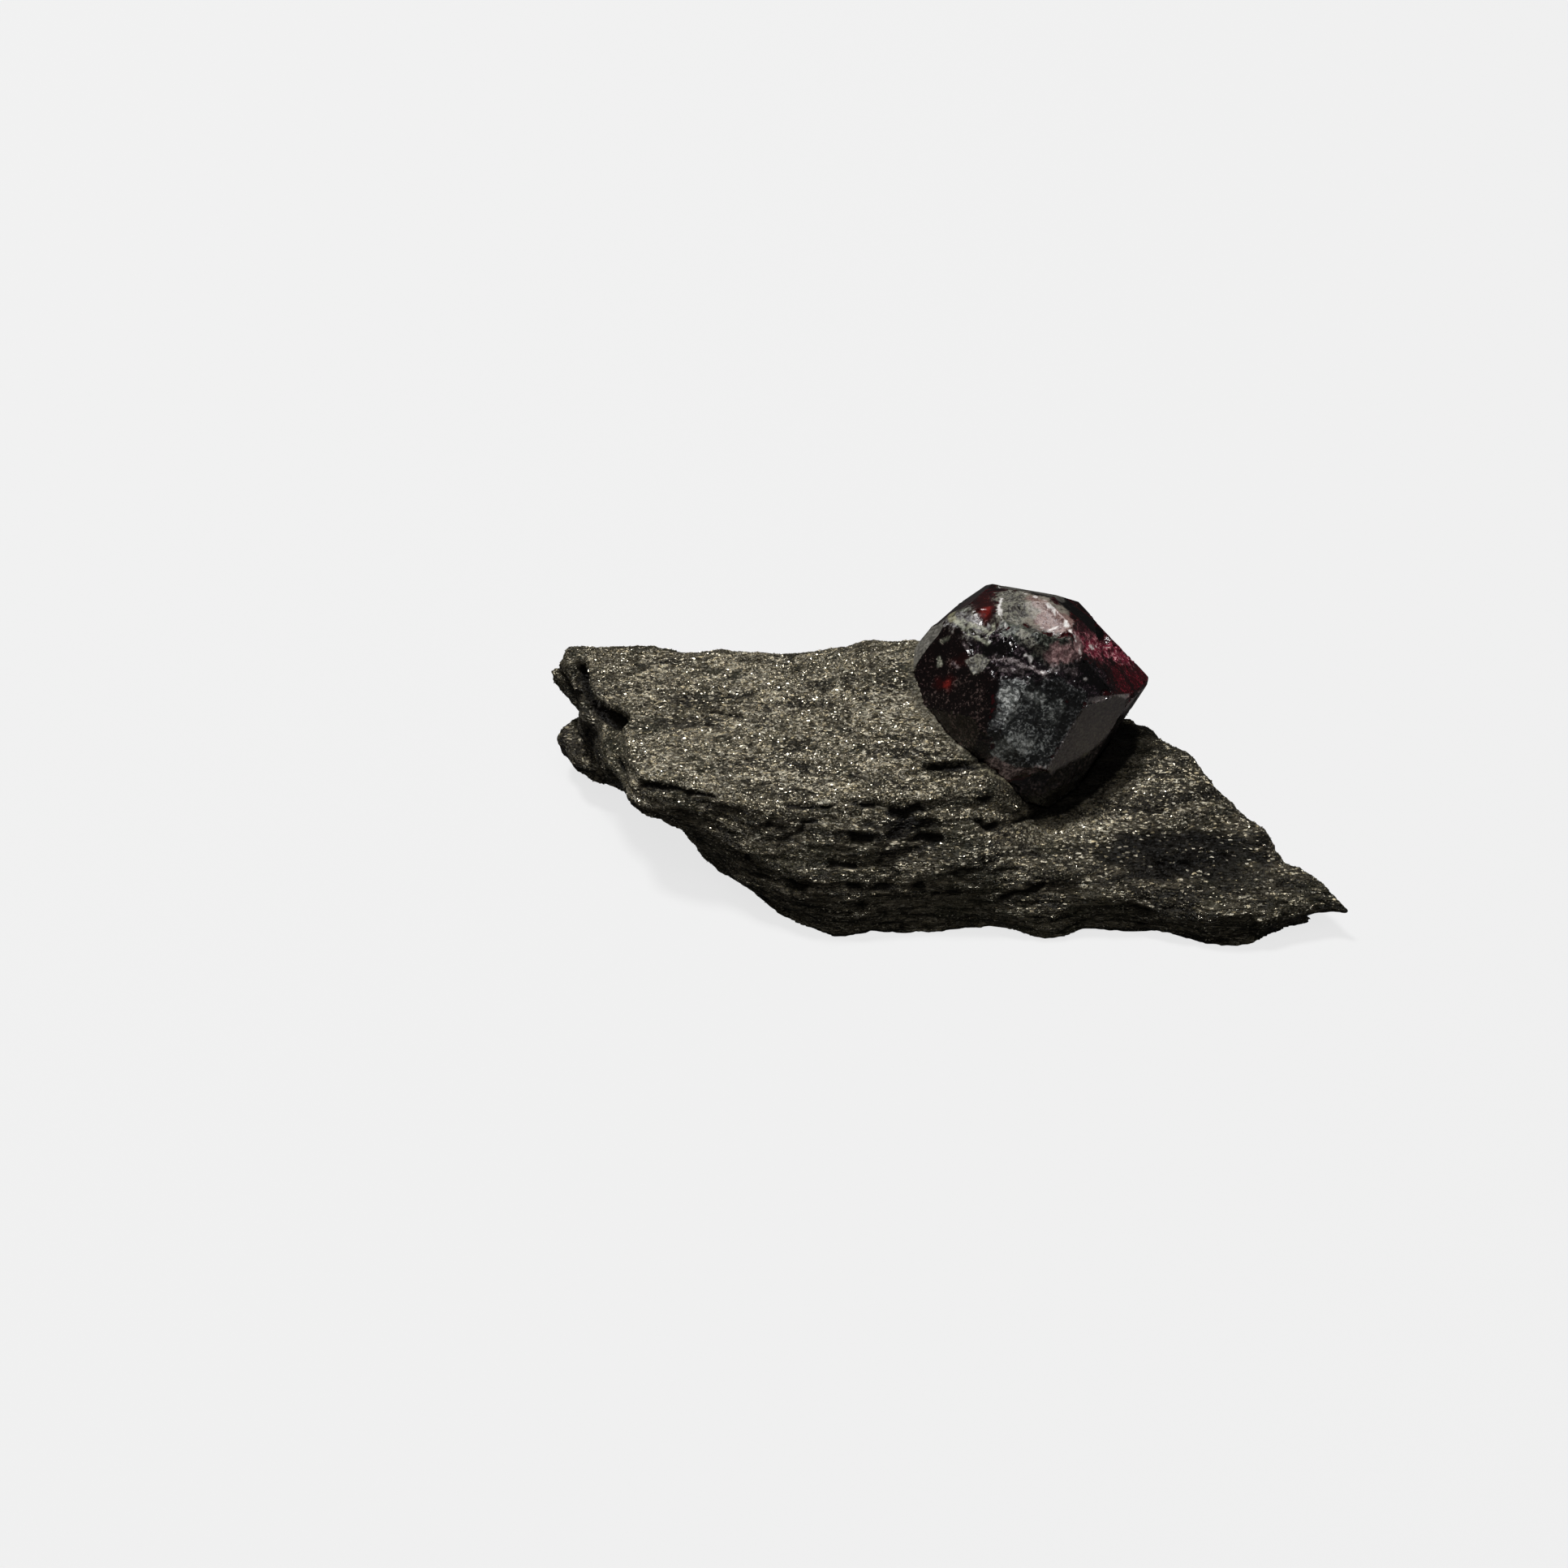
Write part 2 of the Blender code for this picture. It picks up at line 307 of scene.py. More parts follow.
def crystalFaces():
    # outward direction and distance of every flat crystal face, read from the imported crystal
    centres, normals, areas = surfaceOf(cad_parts["garnet_crystal"])
    reaches = np.einsum("ij,ij->i", normals, centres)
    left = np.ones(len(areas), bool)
    faces = []
    for index in np.argsort(-areas):
        same = left & (normals @ normals[index] > 0.9998) & (abs(reaches - reaches[index]) < 0.03)
        left &= ~same
        if areas[same].sum() > garnet["smallestFace"]:
            faces.append((normals[index], reaches[index]))
    return [np.array(part) for part in zip(*faces)]


faceNormals, faceReaches = crystalFaces()
print("crystal faces found:", len(faceReaches))


def beyondFaces(places):
    # how far each place lies outside the crystal's form (+) or inside it (-), and by which face
    beyond = places @ faceNormals.T - faceReaches
    return beyond.max(axis=1), beyond.argmax(axis=1), beyond


# Schist

schist = {
    "gridStep": 0.223, "terraceRise": 0.16, "terraceSlope": 0.42,
    "thickLayer": 0.9, "thickDepth": 0.2, "thinLayer": 0.34, "thinDepth": 0.2,
    "grainHeight": 0.05, "creaseDepth": 0.22, "socketGap": 0.05, "underside": 0.25, "columnWidth": 0.5,
    "evenPasses": 55, "calmPasses": 165, "rightPasses": 6, "sharpPasses": 14, "sharpness": 0.9,
    "hollowDepth": 0.35, "hollowRagged": 0.35, "hollowLump": 2.0, "hollowFade": (0.6, 1.4),
    "crackWander": 0.28,
    # where one way of smoothing gives over to the next, along x, and where the rock begins to darken to the
    # right
    "wornFrom": (-24, -20), "calmFrom": (11.0, 14.0), "rightFrom": (10.0, 12.0), "dullFrom": (10, 17),
    # how far from the rim, the floor and the crystal the rock takes its full relief
    "rimFade": 1.4, "floorFade": (0.1, 0.8), "bodyFade": (0.35, 1.6), "reliefFade": (0.35, 1.3),
    # how far a face looks up to count as top, or down to count as underside
    "topFacing": (0.35, 0.8), "underFacing": (0.5, 0.9),
}
# the dull colour is painted shade in hollows and at the left end, the darkest colour painted shade in cracks
# and under the crystal, and the lip colour a painted highlight
rockColours = {
    "dark": (0.012, 0.011, 0.009, 1), "light": (0.17, 0.146, 0.102, 1), "streak": (0.014, 0.012, 0.01, 1),
    "grain": (0.2, 0.175, 0.12, 1), "green": (0.06, 0.062, 0.036, 1), "dull": (0.005, 0.0045, 0.004, 1),
    "mica": (0.52, 0.43, 0.26, 1), "brightMica": (0.95, 0.89, 0.73, 1),
    "rim": (0.09, 0.085, 0.06, 1), "rimLight": (0.26, 0.245, 0.18, 1), "lip": (0.62, 0.56, 0.38, 1),
    "parting": (0.01, 0.009, 0.007, 1), "paintedShade": (0.004, 0.0035, 0.003, 1),
}
# where the cleavage face on top ends and the broken front begins, as (x, y)
rim = (
    (-34, 11.5), (-31.6, 8.8), (-30.9, 6.7), (-29.9, 4.5), (-28.2, 3.0), (-27.4, 0.9), (-27.0, -2.6),
    (-26.3, -4.2), (-23.2, -5.8), (-19.3, -7.2), (-14.2, -8.6), (-10.8, -8.1), (-7.4, -8.7),
    (-4.7, -8.8), (-1.2, -8.0), (2.2, -7.4), (6.6, -6.2), (10.1, -6.6), (15.5, -7.6), (18.9, -7.6),
    (23.3, -7.0), (27.0, -8.0), (34, -11),
)
# a crack at least this deep, in millimetres, runs on without a break
deepCrack = 0.9
# where bright mica lies thickest: centre and radius
brightPlaces = (((-26.1, -1.3, 10.3), 1.4), ((-9.4, -13.0, 1.8), 1.6), ((-28.5, 8.5, 11.3), 2.6),
                ((-18.0, -1.0, 11.5), 1.6), ((-5.0, 2.5, 12.5), 2.2))
# the edge of the sheet that ends against the crystal's foot, with a painted highlight along it
lipHighlightLine = ((2.9, -4.1, 10.7), (3.6, -3.7, 10.4), (4.1, -3.9, 9.9), (5.0, -4.3, 9.8), (5.7, -4.4, 9.2))
# the crack that runs to the left from there, drawn as a line of painted shade
lipCrack = ((-2.0, -4.6, 11.7), (-0.5, -4.5, 11.5), (0.8, -4.3, 11.2), (2.2, -4.0, 10.9), (3.3, -3.4, 10.5))
# places where the rock stands a little higher or lower: centre, radii, and how far it moves along x, y and z
nudges = (
    ((-17.0, 11.0, 11.5), (6.5, 5.0, 6.0), (0, 0.55, 0.55)),
    ((-28.0, 11.0, 11.0), (4.5, 3.5, 5.0), (0, -0.3, -0.25)),
    ((-3.2, 9.8, 14.2), (3.6, 3.5, 4.0), (0, -0.5, -0.6)),
    ((-32.4, 10.2, 10.8), (1.9, 1.9, 2.4), (-0.5, 0.4, 0.3)),
    ((-33.6, 6.2, 8.4), (2.4, 3.0, 3.4), (1.2, 0.1, 0)),
    ((-33.8, 8.7, 7.3), (2.6, 3.2, 3.8), (1.2, 0, 0)),
    ((-28.8, 1.5, 7.0), (2.5, 4.0, 4.0), (-0.9, -0.8, 0.3)),
    ((-31.2, 4.6, 2.4), (3.4, 3.5, 3.5), (-0.5, -0.9, 0)),
    ((-25.6, -4.2, 4.0), (4.0, 3.5, 4.5), (0.5, 0.9, 0.1)),
    ((0.3, -3.4, 11.4), (4.5, 2.4, 3.0), (0, 0.1, 0.55)),
    ((4.2, -4.8, 9.8), (3.6, 2.4, 2.8), (0.2, 0.3, 0.75)),
    ((27.6, -5.6, 3.0), (3.0, 3.0, 4.0), (0.5, 0.5, 0.3)),
    ((29.8, -5.0, 2.6), (2.6, 3.0, 4.0), (0.7, 0.8, 0.35)),
    ((34.3, -11.4, 1.2), (3.2, 3.2, 3.0), (0.55, -0.8, -0.2)),
    ((17.5, -13.6, 1.5), (3.4, 3.0, 3.0), (0, -0.6, 0)),
    ((24.2, -13.0, 1.5), (3.0, 3.0, 3.0), (0, 0.5, 0)),
    ((20.0, 3.5, 7.0), (2.6, 2.6, 3.0), (-0.35, -0.35, -0.25)),
)
# cracks in the rock, with painted shade in them: the line each follows, its width and its depth, in
# millimetres
cracks = (
    (((-26.6, 6.4, 11.3), (-24.5, 5.4, 11.4), (-22.0, 4.1, 11.1)), 0.25, 0.25),
    (((-20.6, 3.5, 11.1), (-18.1, 2.7, 11.2), (-16.0, 1.8, 11.5)), 0.35, 0.45),
    (((-26.1, -4.6, 9.8), (-24.1, -5.5, 10.0), (-22.5, -6.1, 10.2), (-18.8, -7.1, 10.2)), 0.4, 0.5),
    (((-13.2, -7.9, 10.6), (-10.9, -8.2, 10.4), (-9.4, -8.2, 10.7), (-6.4, -8.2, 10.7), (-5.0, -8.5, 10.3),
      (-3.7, -8.7, 10.0), (-2.2, -8.3, 10.1), (-0.2, -7.6, 10.1), (0.6, -7.1, 10.4)), 0.42, 0.5),
    (((-15.2, -9.2, 9.1), (-13.6, -9.5, 9.0), (-12.3, -9.5, 8.8)), 0.42, 0.45),
    (((-12.7, -8.9, 9.5), (-10.9, -9.1, 9.4)), 0.3, 0.35),
    (((-8.1, -10.2, 8.5), (-5.7, -10.1, 8.8), (-3.8, -9.8, 8.6), (-2.0, -9.7, 8.0),
      (-0.5, -9.4, 7.8)), 0.5, 0.5),
    (((2.1, -8.2, 9.1), (3.4, -8.3, 8.2), (5.9, -7.0, 7.1), (6.7, -5.8, 7.0), (8.3, -5.1, 6.3),
      (9.5, -5.1, 5.9)), 0.35, 0.45),
    (((0.6, -7.1, 10.4), (3.5, -6.3, 9.6), (5.5, -5.2, 8.6)), 0.32, 0.4),
    (((-9.8, -11.1, 6.3), (-7.9, -11.1, 6.2)), 0.35, 0.35),
    (((-14.6, -11.2, 4.4), (-12.3, -12.1, 4.7), (-10.1, -12.4, 4.4), (-8.3, -12.2, 5.0), (-5.3, -12.2, 4.8),
      (-2.0, -11.9, 4.5)), 0.35, 0.35),
    (((-14.0, -10.8, 1.1), (-11.4, -12.6, 3.4), (-9.8, -13.1, 3.3), (-7.1, -12.8, 3.2)), 0.45, 0.35),
    (((-17.0, -9.9, 6.2), (-15.7, -10.7, 5.8)), 0.35, 0.35),
    (((-1.2, -12.1, 3.9), (4.3, -12.5, 3.8), (8.0, -11.9, 4.5)), 0.3, 0.3),
    (((-1.8, -4.6, 11.7), (-0.5, -4.5, 11.5), (0.8, -4.3, 11.2), (2.2, -4.0, 10.9),
      (3.0, -3.7, 10.8)), 0.4, 0.9),
    (((3.0, -3.3, 11.0), (4.0, -3.6, 10.5), (5.0, -4.0, 10.0), (6.0, -4.3, 9.0)), 0.25, 0.9),
    (((-31.8, 9.1, 11.1), (-31.5, 7.2, 10.9), (-30.8, 5.4, 10.9), (-30.1, 4.5, 10.8), (-29.5, 3.8, 10.3),
      (-28.5, 3.1, 10.3), (-27.8, 2.6, 10.6)), 0.95, 1.4),
    (((-29.9, 3.2, 8.6), (-28.9, 1.9, 7.7), (-27.7, -1.7, 8.8), (-26.1, -4.6, 9.6)), 0.5, 0.7),
    (((15.6, -7.5, 6.1), (19.7, -7.3, 6.1), (23.6, -7.2, 5.6)), 0.5, 0.4),
    (((18.2, -9.5, 5.3), (21.1, -8.9, 4.3), (23.2, -8.4, 4.1)), 0.35, 0.35),
)
# where the crystal stands over the rock and keeps the light off it, as (x, y)
crystalShadow = ((16.2, 4.4), (16.0, 2.2), (14.4, -0.1), (12.4, -1.8), (10.2, -3.2), (7.6, -4.4))
# hollows with painted shade in them and no bright mica: centre, radii and turn in degrees
darkHollows = (
    ((20.8, -8.4, 5.2), (8.5, 2.3, 4.5), 3),
    ((-3.0, -9.2, 9.4), (4.5, 0.5, 0.8), 4),
)


def layerReach(places, thickness, length, lip, seed):
    # how far the split layer at each place stands out (+) or is broken back (-)
    flat = places * (1, 1, 0)
    level = places[:, 2] / thickness + 0.9 * noiseAt(flat, (7, 7, 7), seed) + 0.05 * places[:, 0]
    layer = np.floor(level)
    share = np.minimum(1, (level - layer) / lip)
    above = noiseAt(flat / length + np.outer(layer, (0, 0, 3.7)), (1, 1, 1), seed)
    below = noiseAt(flat / length + np.outer(layer - 1, (0, 0, 3.7)), (1, 1, 1), seed)
    return below + (above - below) * share


def terraces(places, stretch, seed):
    # broken edges of thin sheets on the cleavage surface, each step facing the front
    wander = 1.5 * noiseAt(places, (6.5 * stretch, 2.0 * stretch, 9), seed)
    wander += 0.7 * noiseAt(places, (2.2 * stretch, 0.8 * stretch, 9), seed + 5)
    level = schist["terraceSlope"] * places[:, 1] / stretch + wander
    step = np.floor(level)
    return stretch * schist["terraceRise"] * (step + ramp(level - step, 0, 0.16) - level - 0.5)


def evened(piece, places, passes, among=None):
    # the surface with its small forms rubbed away, each point drawn to the middle of its neighbours
    edges = np.empty(len(piece.data.edges) * 2, np.int32)
    piece.data.edges.foreach_get("vertices", edges)
    start, end = edges.reshape(-1, 2).T
    if among is not None:
        both = among[start] & among[end]
        start, end = start[both], end[both]
    count = (np.bincount(start, minlength=len(places)) + np.bincount(end, minlength=len(places)))[:, None]
    soft = places.copy()
    for _ in range(passes):
        total = np.stack([np.bincount(start, soft[end, axis], len(places))
                          + np.bincount(end, soft[start, axis], len(places)) for axis in range(3)], 1)
        soft = np.where(count > 0, 0.4 * soft + 0.6 * total / np.maximum(count, 1), soft)
    return soft


def behindEdge(places):
    # how far each place lies in front of the rock's back edge
    column = np.floor(places[:, 0] / schist["columnWidth"]).astype(int)
    column -= column.min()
    edge = np.full(column.max() + 1, -1e9)
    np.maximum.at(edge, column, places[:, 1])
    return edge[column] - places[:, 1]


def hollowShare(places, centre, radii, turn):
    # 1 inside a ragged hollow, 0 outside
    angle = math.radians(turn)
    x, y, z = (places - centre).T
    along = x * math.cos(angle) + y * math.sin(angle)
    across = y * math.cos(angle) - x * math.sin(angle)
    reach = np.sqrt((along / radii[0]) ** 2 + (across / radii[1]) ** 2 + (z / radii[2]) ** 2)
    near = reach < 2.2
    reach[near] += schist["hollowRagged"] * fractalAt(places[near], schist["hollowLump"], centre[0])
    return 1 - ramp(reach, *schist["hollowFade"])


def seenFrom(places, line):
    # how far each place is from a line, as seen from the camera's side
    def flat(points):
        return points - np.outer(points @ toCamera, toCamera)

    return distanceTo(flat(places), flat(np.array(line)))


def sculptSchist(piece):
    original = inMm(piece.data.vertices)
    x, y, z = original.T
    beyond = beyondFaces(original)[0]
    front = ramp(np.interp(x, *zip(*rim)) - y, 0.0, schist["rimFade"])
    body = ramp(z, *schist["floorFade"]) * ramp(beyond, *schist["bodyFade"])

    # the broken front and the right part are one worn slope, while the cleavage face on top keeps crisp edges
    slope = evened(piece, original, schist["evenPasses"])
    crisp = original + schist["sharpness"] * (original - evened(piece, original, schist["sharpPasses"]))
    upper = (inMm(piece.data.vertices, "normal")[:, 2] > 0.05) & (behindEdge(original) > 0.2)
    calmSlope = evened(piece, original, schist["calmPasses"], upper)
    calm = ramp(x, *schist["calmFrom"]) * upper
    worn = front * ramp(x, *schist["wornFrom"]) * (1 - calm)
    places = original + (body * worn)[:, None] * (slope - original)
    places += (body * calm)[:, None] * (calmSlope - original)
    places += (body * (1 - worn) * (1 - calm))[:, None] * (crisp - original)
    onRight = ramp(x, *schist["rightFrom"]) * (z > 0.5)
    places += (body * onRight)[:, None] * (evened(piece, places, schist["rightPasses"]) - places)
    for centre, radii, shift in nudges:
        reach = ballReach(places, centre, radii)
        places += (1 - ramp(reach, 0.25, 1.0))[:, None] * np.array(shift) * (places[:, 2:] > 0.3)
    setPlaces(piece, places)
    x, y, z = places.T
    normals = inMm(piece.data.vertices, "normal")
    up = normals[:, 2]
    steep = np.sqrt(np.clip(1 - up ** 2, 0, 1))
    top = ramp(up, *schist["topFacing"])
    under = ramp(-up, *schist["underFacing"]) * (z < 0.3)
    beyond, nearest, _ = beyondFaces(places)
    free = ramp(beyond, *schist["reliefFade"])
    moved = places.copy()

    outward = normals * (1, 1, 0.25)
    outward /= np.maximum(lengths(outward), 1e-6)[:, None]
    ledges = schist["thickDepth"] * layerReach(places, schist["thickLayer"], length=5.0, lip=0.3, seed=2.0)
    ledges += schist["thinDepth"] * layerReach(places, schist["thinLayer"], length=2.2, lip=0.4, seed=9.0)
    moved += outward * (ledges * ramp(steep, 0.25, 0.85) * free * (1 - under))[:, None]

    rise = terraces(places, stretch=1.0, seed=1.0)
    rise += terraces(places, stretch=0.4, seed=4.0)
    moved[:, 2] += rise * top * free

    grain = noiseAt(places, (0.8, 0.5, 0.35), 3.0) + noiseAt(places, (0.4, 0.3, 0.25), 6.0)
    moved += normals * (schist["grainHeight"] * grain * free * (1 - under))[:, None]

    # wavy creases between the sheets, long along x, where two smooth noises meet their middle, with painted
    # shade in them
    creaseAndCrackShade = np.zeros(len(places))
    for sizes, width, depth, seed in (((6.0, 1.5, 1.3), 0.10, 1.0, 40.0), ((2.6, 0.8, 0.7), 0.12, 0.6, 50.0)):
        crease = 1 - ramp(abs(noiseAt(places, sizes, seed)), 0, width)
        crease *= ramp(noiseAt(places, (5.0, 2.5, 2.5), seed + 3), -0.1, 0.3) * free * (0.25 + 0.75 * front)
        moved -= normals * (schist["creaseDepth"] * depth * crease)[:, None]
        creaseAndCrackShade = np.maximum(creaseAndCrackShade, 0.8 * crease)
    wander = np.stack([noiseAt(places, (1.5, 1.5, 1.5), seed) for seed in (0, 11, 22)], 1)
    wandering = places + schist["crackWander"] * wander
    brokenUp = 0.35 + 0.65 * ramp(noiseAt(places, (2.2, 2.2, 2.2), 33.0), -0.35, 0.0)
    for line, width, depth in cracks:
        crack = 1 - ramp(distanceTo(wandering * (1, 1, 0.4), np.array(line) * (1, 1, 0.4)), 0, width)
        if depth < deepCrack:
            crack = crack * brokenUp
        else:
            crack = ramp(crack, 0.05, 0.6)
        moved -= normals * (depth * crack)[:, None]
        creaseAndCrackShade = np.maximum(creaseAndCrackShade, ramp(crack, 0.1, 0.7))
    hollow = np.zeros(len(places))
    for centre, radii, turn in darkHollows:
        hollow = np.maximum(hollow, hollowShare(places, centre, radii, turn))
    moved -= normals * (schist["hollowDepth"] * hollow)[:, None]

    # the socket's walls close in on the crystal, and its rim with them
    pull = (beyond - schist["socketGap"]) * (1 - ramp(beyond, 0.4, 1.1))
    pull[beyond < 0] = 0
    moved -= faceNormals[nearest] * pull[:, None]

    # the underside is a slightly uneven cleavage face that still rests on its high places
    lifted = schist["underside"] * np.clip(noiseAt(places, (9, 5, 5), 8.0) + 0.15, 0, 1)
    standing = np.maximum(moved[:, 2], 0)
    moved[:, 2] = np.where(under > 0, np.maximum(0, z) + lifted * under, standing)
    setPlaces(piece, moved)
    cleavage = (0.25 + 0.75 * top) * (1 - 0.6 * front) * (1 - 0.7 * hollow)
    cleavage *= 1 - 0.5 * ramp(x, 10, 16)
    for centre, radius in brightPlaces:
        cleavage += 0.8 * (1 - ramp(lengths(places - centre) / radius, 0.2, 1.0))
    storeShade(piece, "cleavage", cleavage)
    # the gap under the crystal on the right, where no light reaches, is all but black
    gap = 1 - ramp(distanceTo(places * (1, 1, 0), [(*corner, 0) for corner in crystalShadow]), 0.8, 1.4)
    # painted shade darkens the broken left end and the hollows, and the right part is darker and has less
    # mica than the top
    leftEnd = front * (1 - ramp(x, -30.2, -29.2))
    # painted shade along that crack, as seen from the camera
    split = (1 - ramp(seenFrom(moved, lipCrack), 0.1, 0.34)) * (y < 0)
    rightEnd = ramp(x, *schist["dullFrom"])
    storeShade(piece, "dull", np.maximum.reduce([hollow, 0.45 * leftEnd, 0.35 * rightEnd]))
    # a smooth pale rim lies along the crystal on the left
    socketRim = (1 - ramp(beyond, 0.7, 1.15)) * ramp(-x, -3.2, -2.0) * (up > 0.2)
    # a painted highlight along that edge
    lip = (1 - ramp(seenFrom(moved, lipHighlightLine), 0.14, 0.42)) * (up > -0.2) * (y < 0)
    # the pale rim and the painted lip highlight share one attribute
    storeShade(piece, "socketRim", np.maximum(0.6 * socketRim, lip))
    # painted shade in the creases and cracks and painted shadow under the crystal share one attribute, kept
    # off the lip highlight
    storeShade(piece, "paintedShade", np.maximum.reduce([creaseAndCrackShade, gap, split]) * (1 - lip))


def makeSchistMaterial():
    shader = newMaterial("micaSchist")
    place = coordinates((1, 1, 1))
    layered = coordinates((0.22, 0.7, 2.0))
    along = coordinates((0.6, 1.1, 2.2))
    cleavage, paintedShade = shadeOf("cleavage"), shadeOf("paintedShade")
    socketRim, dull = shadeOf("socketRim"), shadeOf("dull")

    streaks = noiseNode(layered, 0.8, 5.0, 0.7)
    fineStreaks = noiseNode(layered, 5.0, 3.0, 0.7)
    lines = noiseNode(layered, 2.4, 2.0, 0.5)
    grain = noiseNode(place, 6.0, 3.0, 0.7)
    blotches = noiseNode(place, 0.2, 2.0)
    drifts = noiseNode(coordinates((0.6, 1.0, 1.0)), 0.45, 2.0)
    flakes = cells(along, 5.2)
    plates = cells(along, 1.9)
    flakeRandom = node("SeparateColor", {0: flakes}).outputs
    # thin dark lines where two sheets part
    parting = mathNode("ABSOLUTE", minus(lines, 0.5))
    parting = between(parting, 0.0, 0.035, 0.85, 0)

    tones = rockColours
    rock = mixed(between(streaks, 0.40, 0.62), tones["dark"], tones["light"])
    rock = mixed(between(fineStreaks, 0.38, 0.6, 0.7, 0), rock, tones["streak"])
    rock = mixed(between(grain, 0.45, 0.7, 0, 0.5), rock, tones["grain"])
    rock = mixed(between(blotches, 0.45, 0.7, 0, 0.35), rock, tones["green"])
    # painted shade in the hollows and on the broken left end, and a darker right part
    rock = mixed(times(dull, 0.9), rock, tones["dull"])
    often = plus(times(cleavage, 0.45), 0.11)
    often = times(often, between(streaks, 0.38, 0.6, 0.25, 1.6))
    often = times(often, between(drifts, 0.35, 0.65, 0.7, 1.5))
    often = times(often, between(dull, 0, 1, 1, 0.3))
    silver = mathNode("LESS_THAN", flakeRandom[0], often)
    silver = times(silver, minus(1.0, paintedShade))
    silver = times(silver, minus(1.0, socketRim))
    mica = mixed(flakeRandom[1], tones["mica"], tones["brightMica"])
    colour = mixed(times(silver, 0.75), rock, mica)
    rimColour = mixed(between(fineStreaks, 0.4, 0.6), tones["rim"], tones["rimLight"])
    colour = mixed(times(socketRim, 0.75), colour, rimColour)
    # the lip's bright colour is a painted highlight
    colour = mixed(between(socketRim, 0.7, 0.95), colour, tones["lip"])
    colour = mixed(parting, colour, tones["parting"])
    # painted shade: near black in creases, cracks and the shadow under the crystal
    colour = mixed(times(paintedShade, 0.92), colour, tones["paintedShade"])

    height = plus(times(streaks, 1.6), fineStreaks)
    height = plus(height, times(grain, 0.5))
    height = minus(height, times(parting, 0.4))
    bump = node("Bump", {"Strength": 0.9, "Distance": 0.2 * mm, "Height": height}).outputs[0]
    normal = tilted(bump, flakes, 0.95)
    normal = tilted(normal, plates, 0.3)
    fill(shader, {
        "Base Color": colour,
        "Metallic": times(silver, 0.85),
        "Roughness": between(flakeRandom[2], 0, 1, 0.2, 0.42),
        "Specular IOR Level": 0.2,
        "Normal": normal,
    })
    return material


def makeSchistSkin():
    piece = copyOfNode("schist_matrix", "schistSkin")
    applyModifier(piece, "REMESH", mode="VOXEL", voxel_size=schist["gridStep"] * mm)
    sculptSchist(piece)
    only(piece)
    bpy.ops.object.shade_smooth()
    piece.data.materials.append(makeSchistMaterial())
    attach(piece, "root")
    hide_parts("schist_matrix")
    return piece


schistSkin = makeSchistSkin()
print("schist skin:", len(schistSkin.data.polygons), "faces")


# Mica flakes that lie on the rock

micaPlate = {
    "thickness": 0.03, "raised": 0.015, "scatter": 0.12,
    "dull": (0.08, 0.07, 0.045, 1), "bright": (0.84, 0.77, 0.60, 1), "metallic": 0.85,
}
flakeSets = (
    # name, how many, lowest and highest share of upward facing, smallest and largest width, and lean
    ("flakesOnTop", 12000, 0.62, 1.01, 0.09, 0.22, 0.3),
    ("glintsOnTop", 16000, 0.45, 1.01, 0.05, 0.13, 0.5),
    ("flakesOnSides", 14000, -0.3, 0.62, 0.08, 0.22, 0.32),
)


def makeFlake():
    # one plate with four corners, a little longer than wide, its rim worn to an edge
    bpy.ops.object.select_all(action="DESELECT")
    bpy.ops.mesh.primitive_cylinder_add(vertices=4, radius=0.5, depth=1.0)
    flake = bpy.context.object
    bpy.ops.object.mode_set(mode="EDIT")
    bpy.ops.mesh.select_all(action="SELECT")
    bpy.ops.transform.resize(value=(1.35, 0.75, 1.0))
    bpy.ops.mesh.select_all(action="DESELECT")
    bpy.ops.object.mode_set(mode="OBJECT")
    for face in flake.data.polygons:
        face.select = face.normal.z > 0.9
    bpy.ops.object.mode_set(mode="EDIT")
    bpy.ops.transform.resize(value=(0.8, 0.7, 1.0))
    bpy.ops.object.mode_set(mode="OBJECT")
    shape = inMm(flake.data.vertices) * mm
    faces = [tuple(face.vertices) for face in flake.data.polygons]
    bpy.data.objects.remove(flake)
    return shape, faces


flakeShape, flakeFaces = makeFlake()


def scatteredFlakes(name, places, normals, widths, thickness, lean, random):
    # one mesh of many copies of the flake, each turned and leaned its own way
    count = len(places)
    outward = normals + lean * random.normal(size=(count, 3))
    outward /= lengths(outward)[:, None]
    # the plates lie roughly along the rock's grain, which runs along x
    across = np.cross(outward, (1, 0, 0) + 0.6 * random.normal(size=(count, 3)))
    across /= lengths(across)[:, None]
    side = np.cross(across, outward)
    depth = thickness * random.uniform(0.6, 1.5, count)
    sizes = np.stack([widths, widths, depth], 1)[:, None, :] * flakeShape[None]
    points = np.einsum("nkj,njx->nkx", sizes, np.stack([side, across, outward], 1)) + places[:, None, :]
    mesh = bpy.data.meshes.new(name)
    corners = len(flakeShape)
    faces = [tuple(corner + corners * number for corner in face)
             for number in range(count) for face in flakeFaces]
    mesh.from_pydata((points.reshape(-1, 3) * mm).tolist(), [], faces)
    piece = addObject(name, mesh)
    storeShade(piece, "flakeTone", np.repeat(random.uniform(0, 1, count), corners))
    return piece


def makeMicaMaterial():
    shader = newMaterial("silverMica")
    dull, bright = micaPlate["dull"], micaPlate["bright"]
    tone = shadeOf("flakeTone")
    place = coordinates((1, 1, 1))
    stain = noiseNode(place, 1.2, 2.0)
    colour = mixed(between(tone, 0.35, 1.0), dull, bright)
    colour = mixed(between(stain, 0.45, 0.75, 0, 0.7), colour, dull)
    fill(shader, {
        "Base Color": colour,
        "Metallic": micaPlate["metallic"],
        "Roughness": between(tone, 0, 1, 0.5, 0.2),
    })
    return material


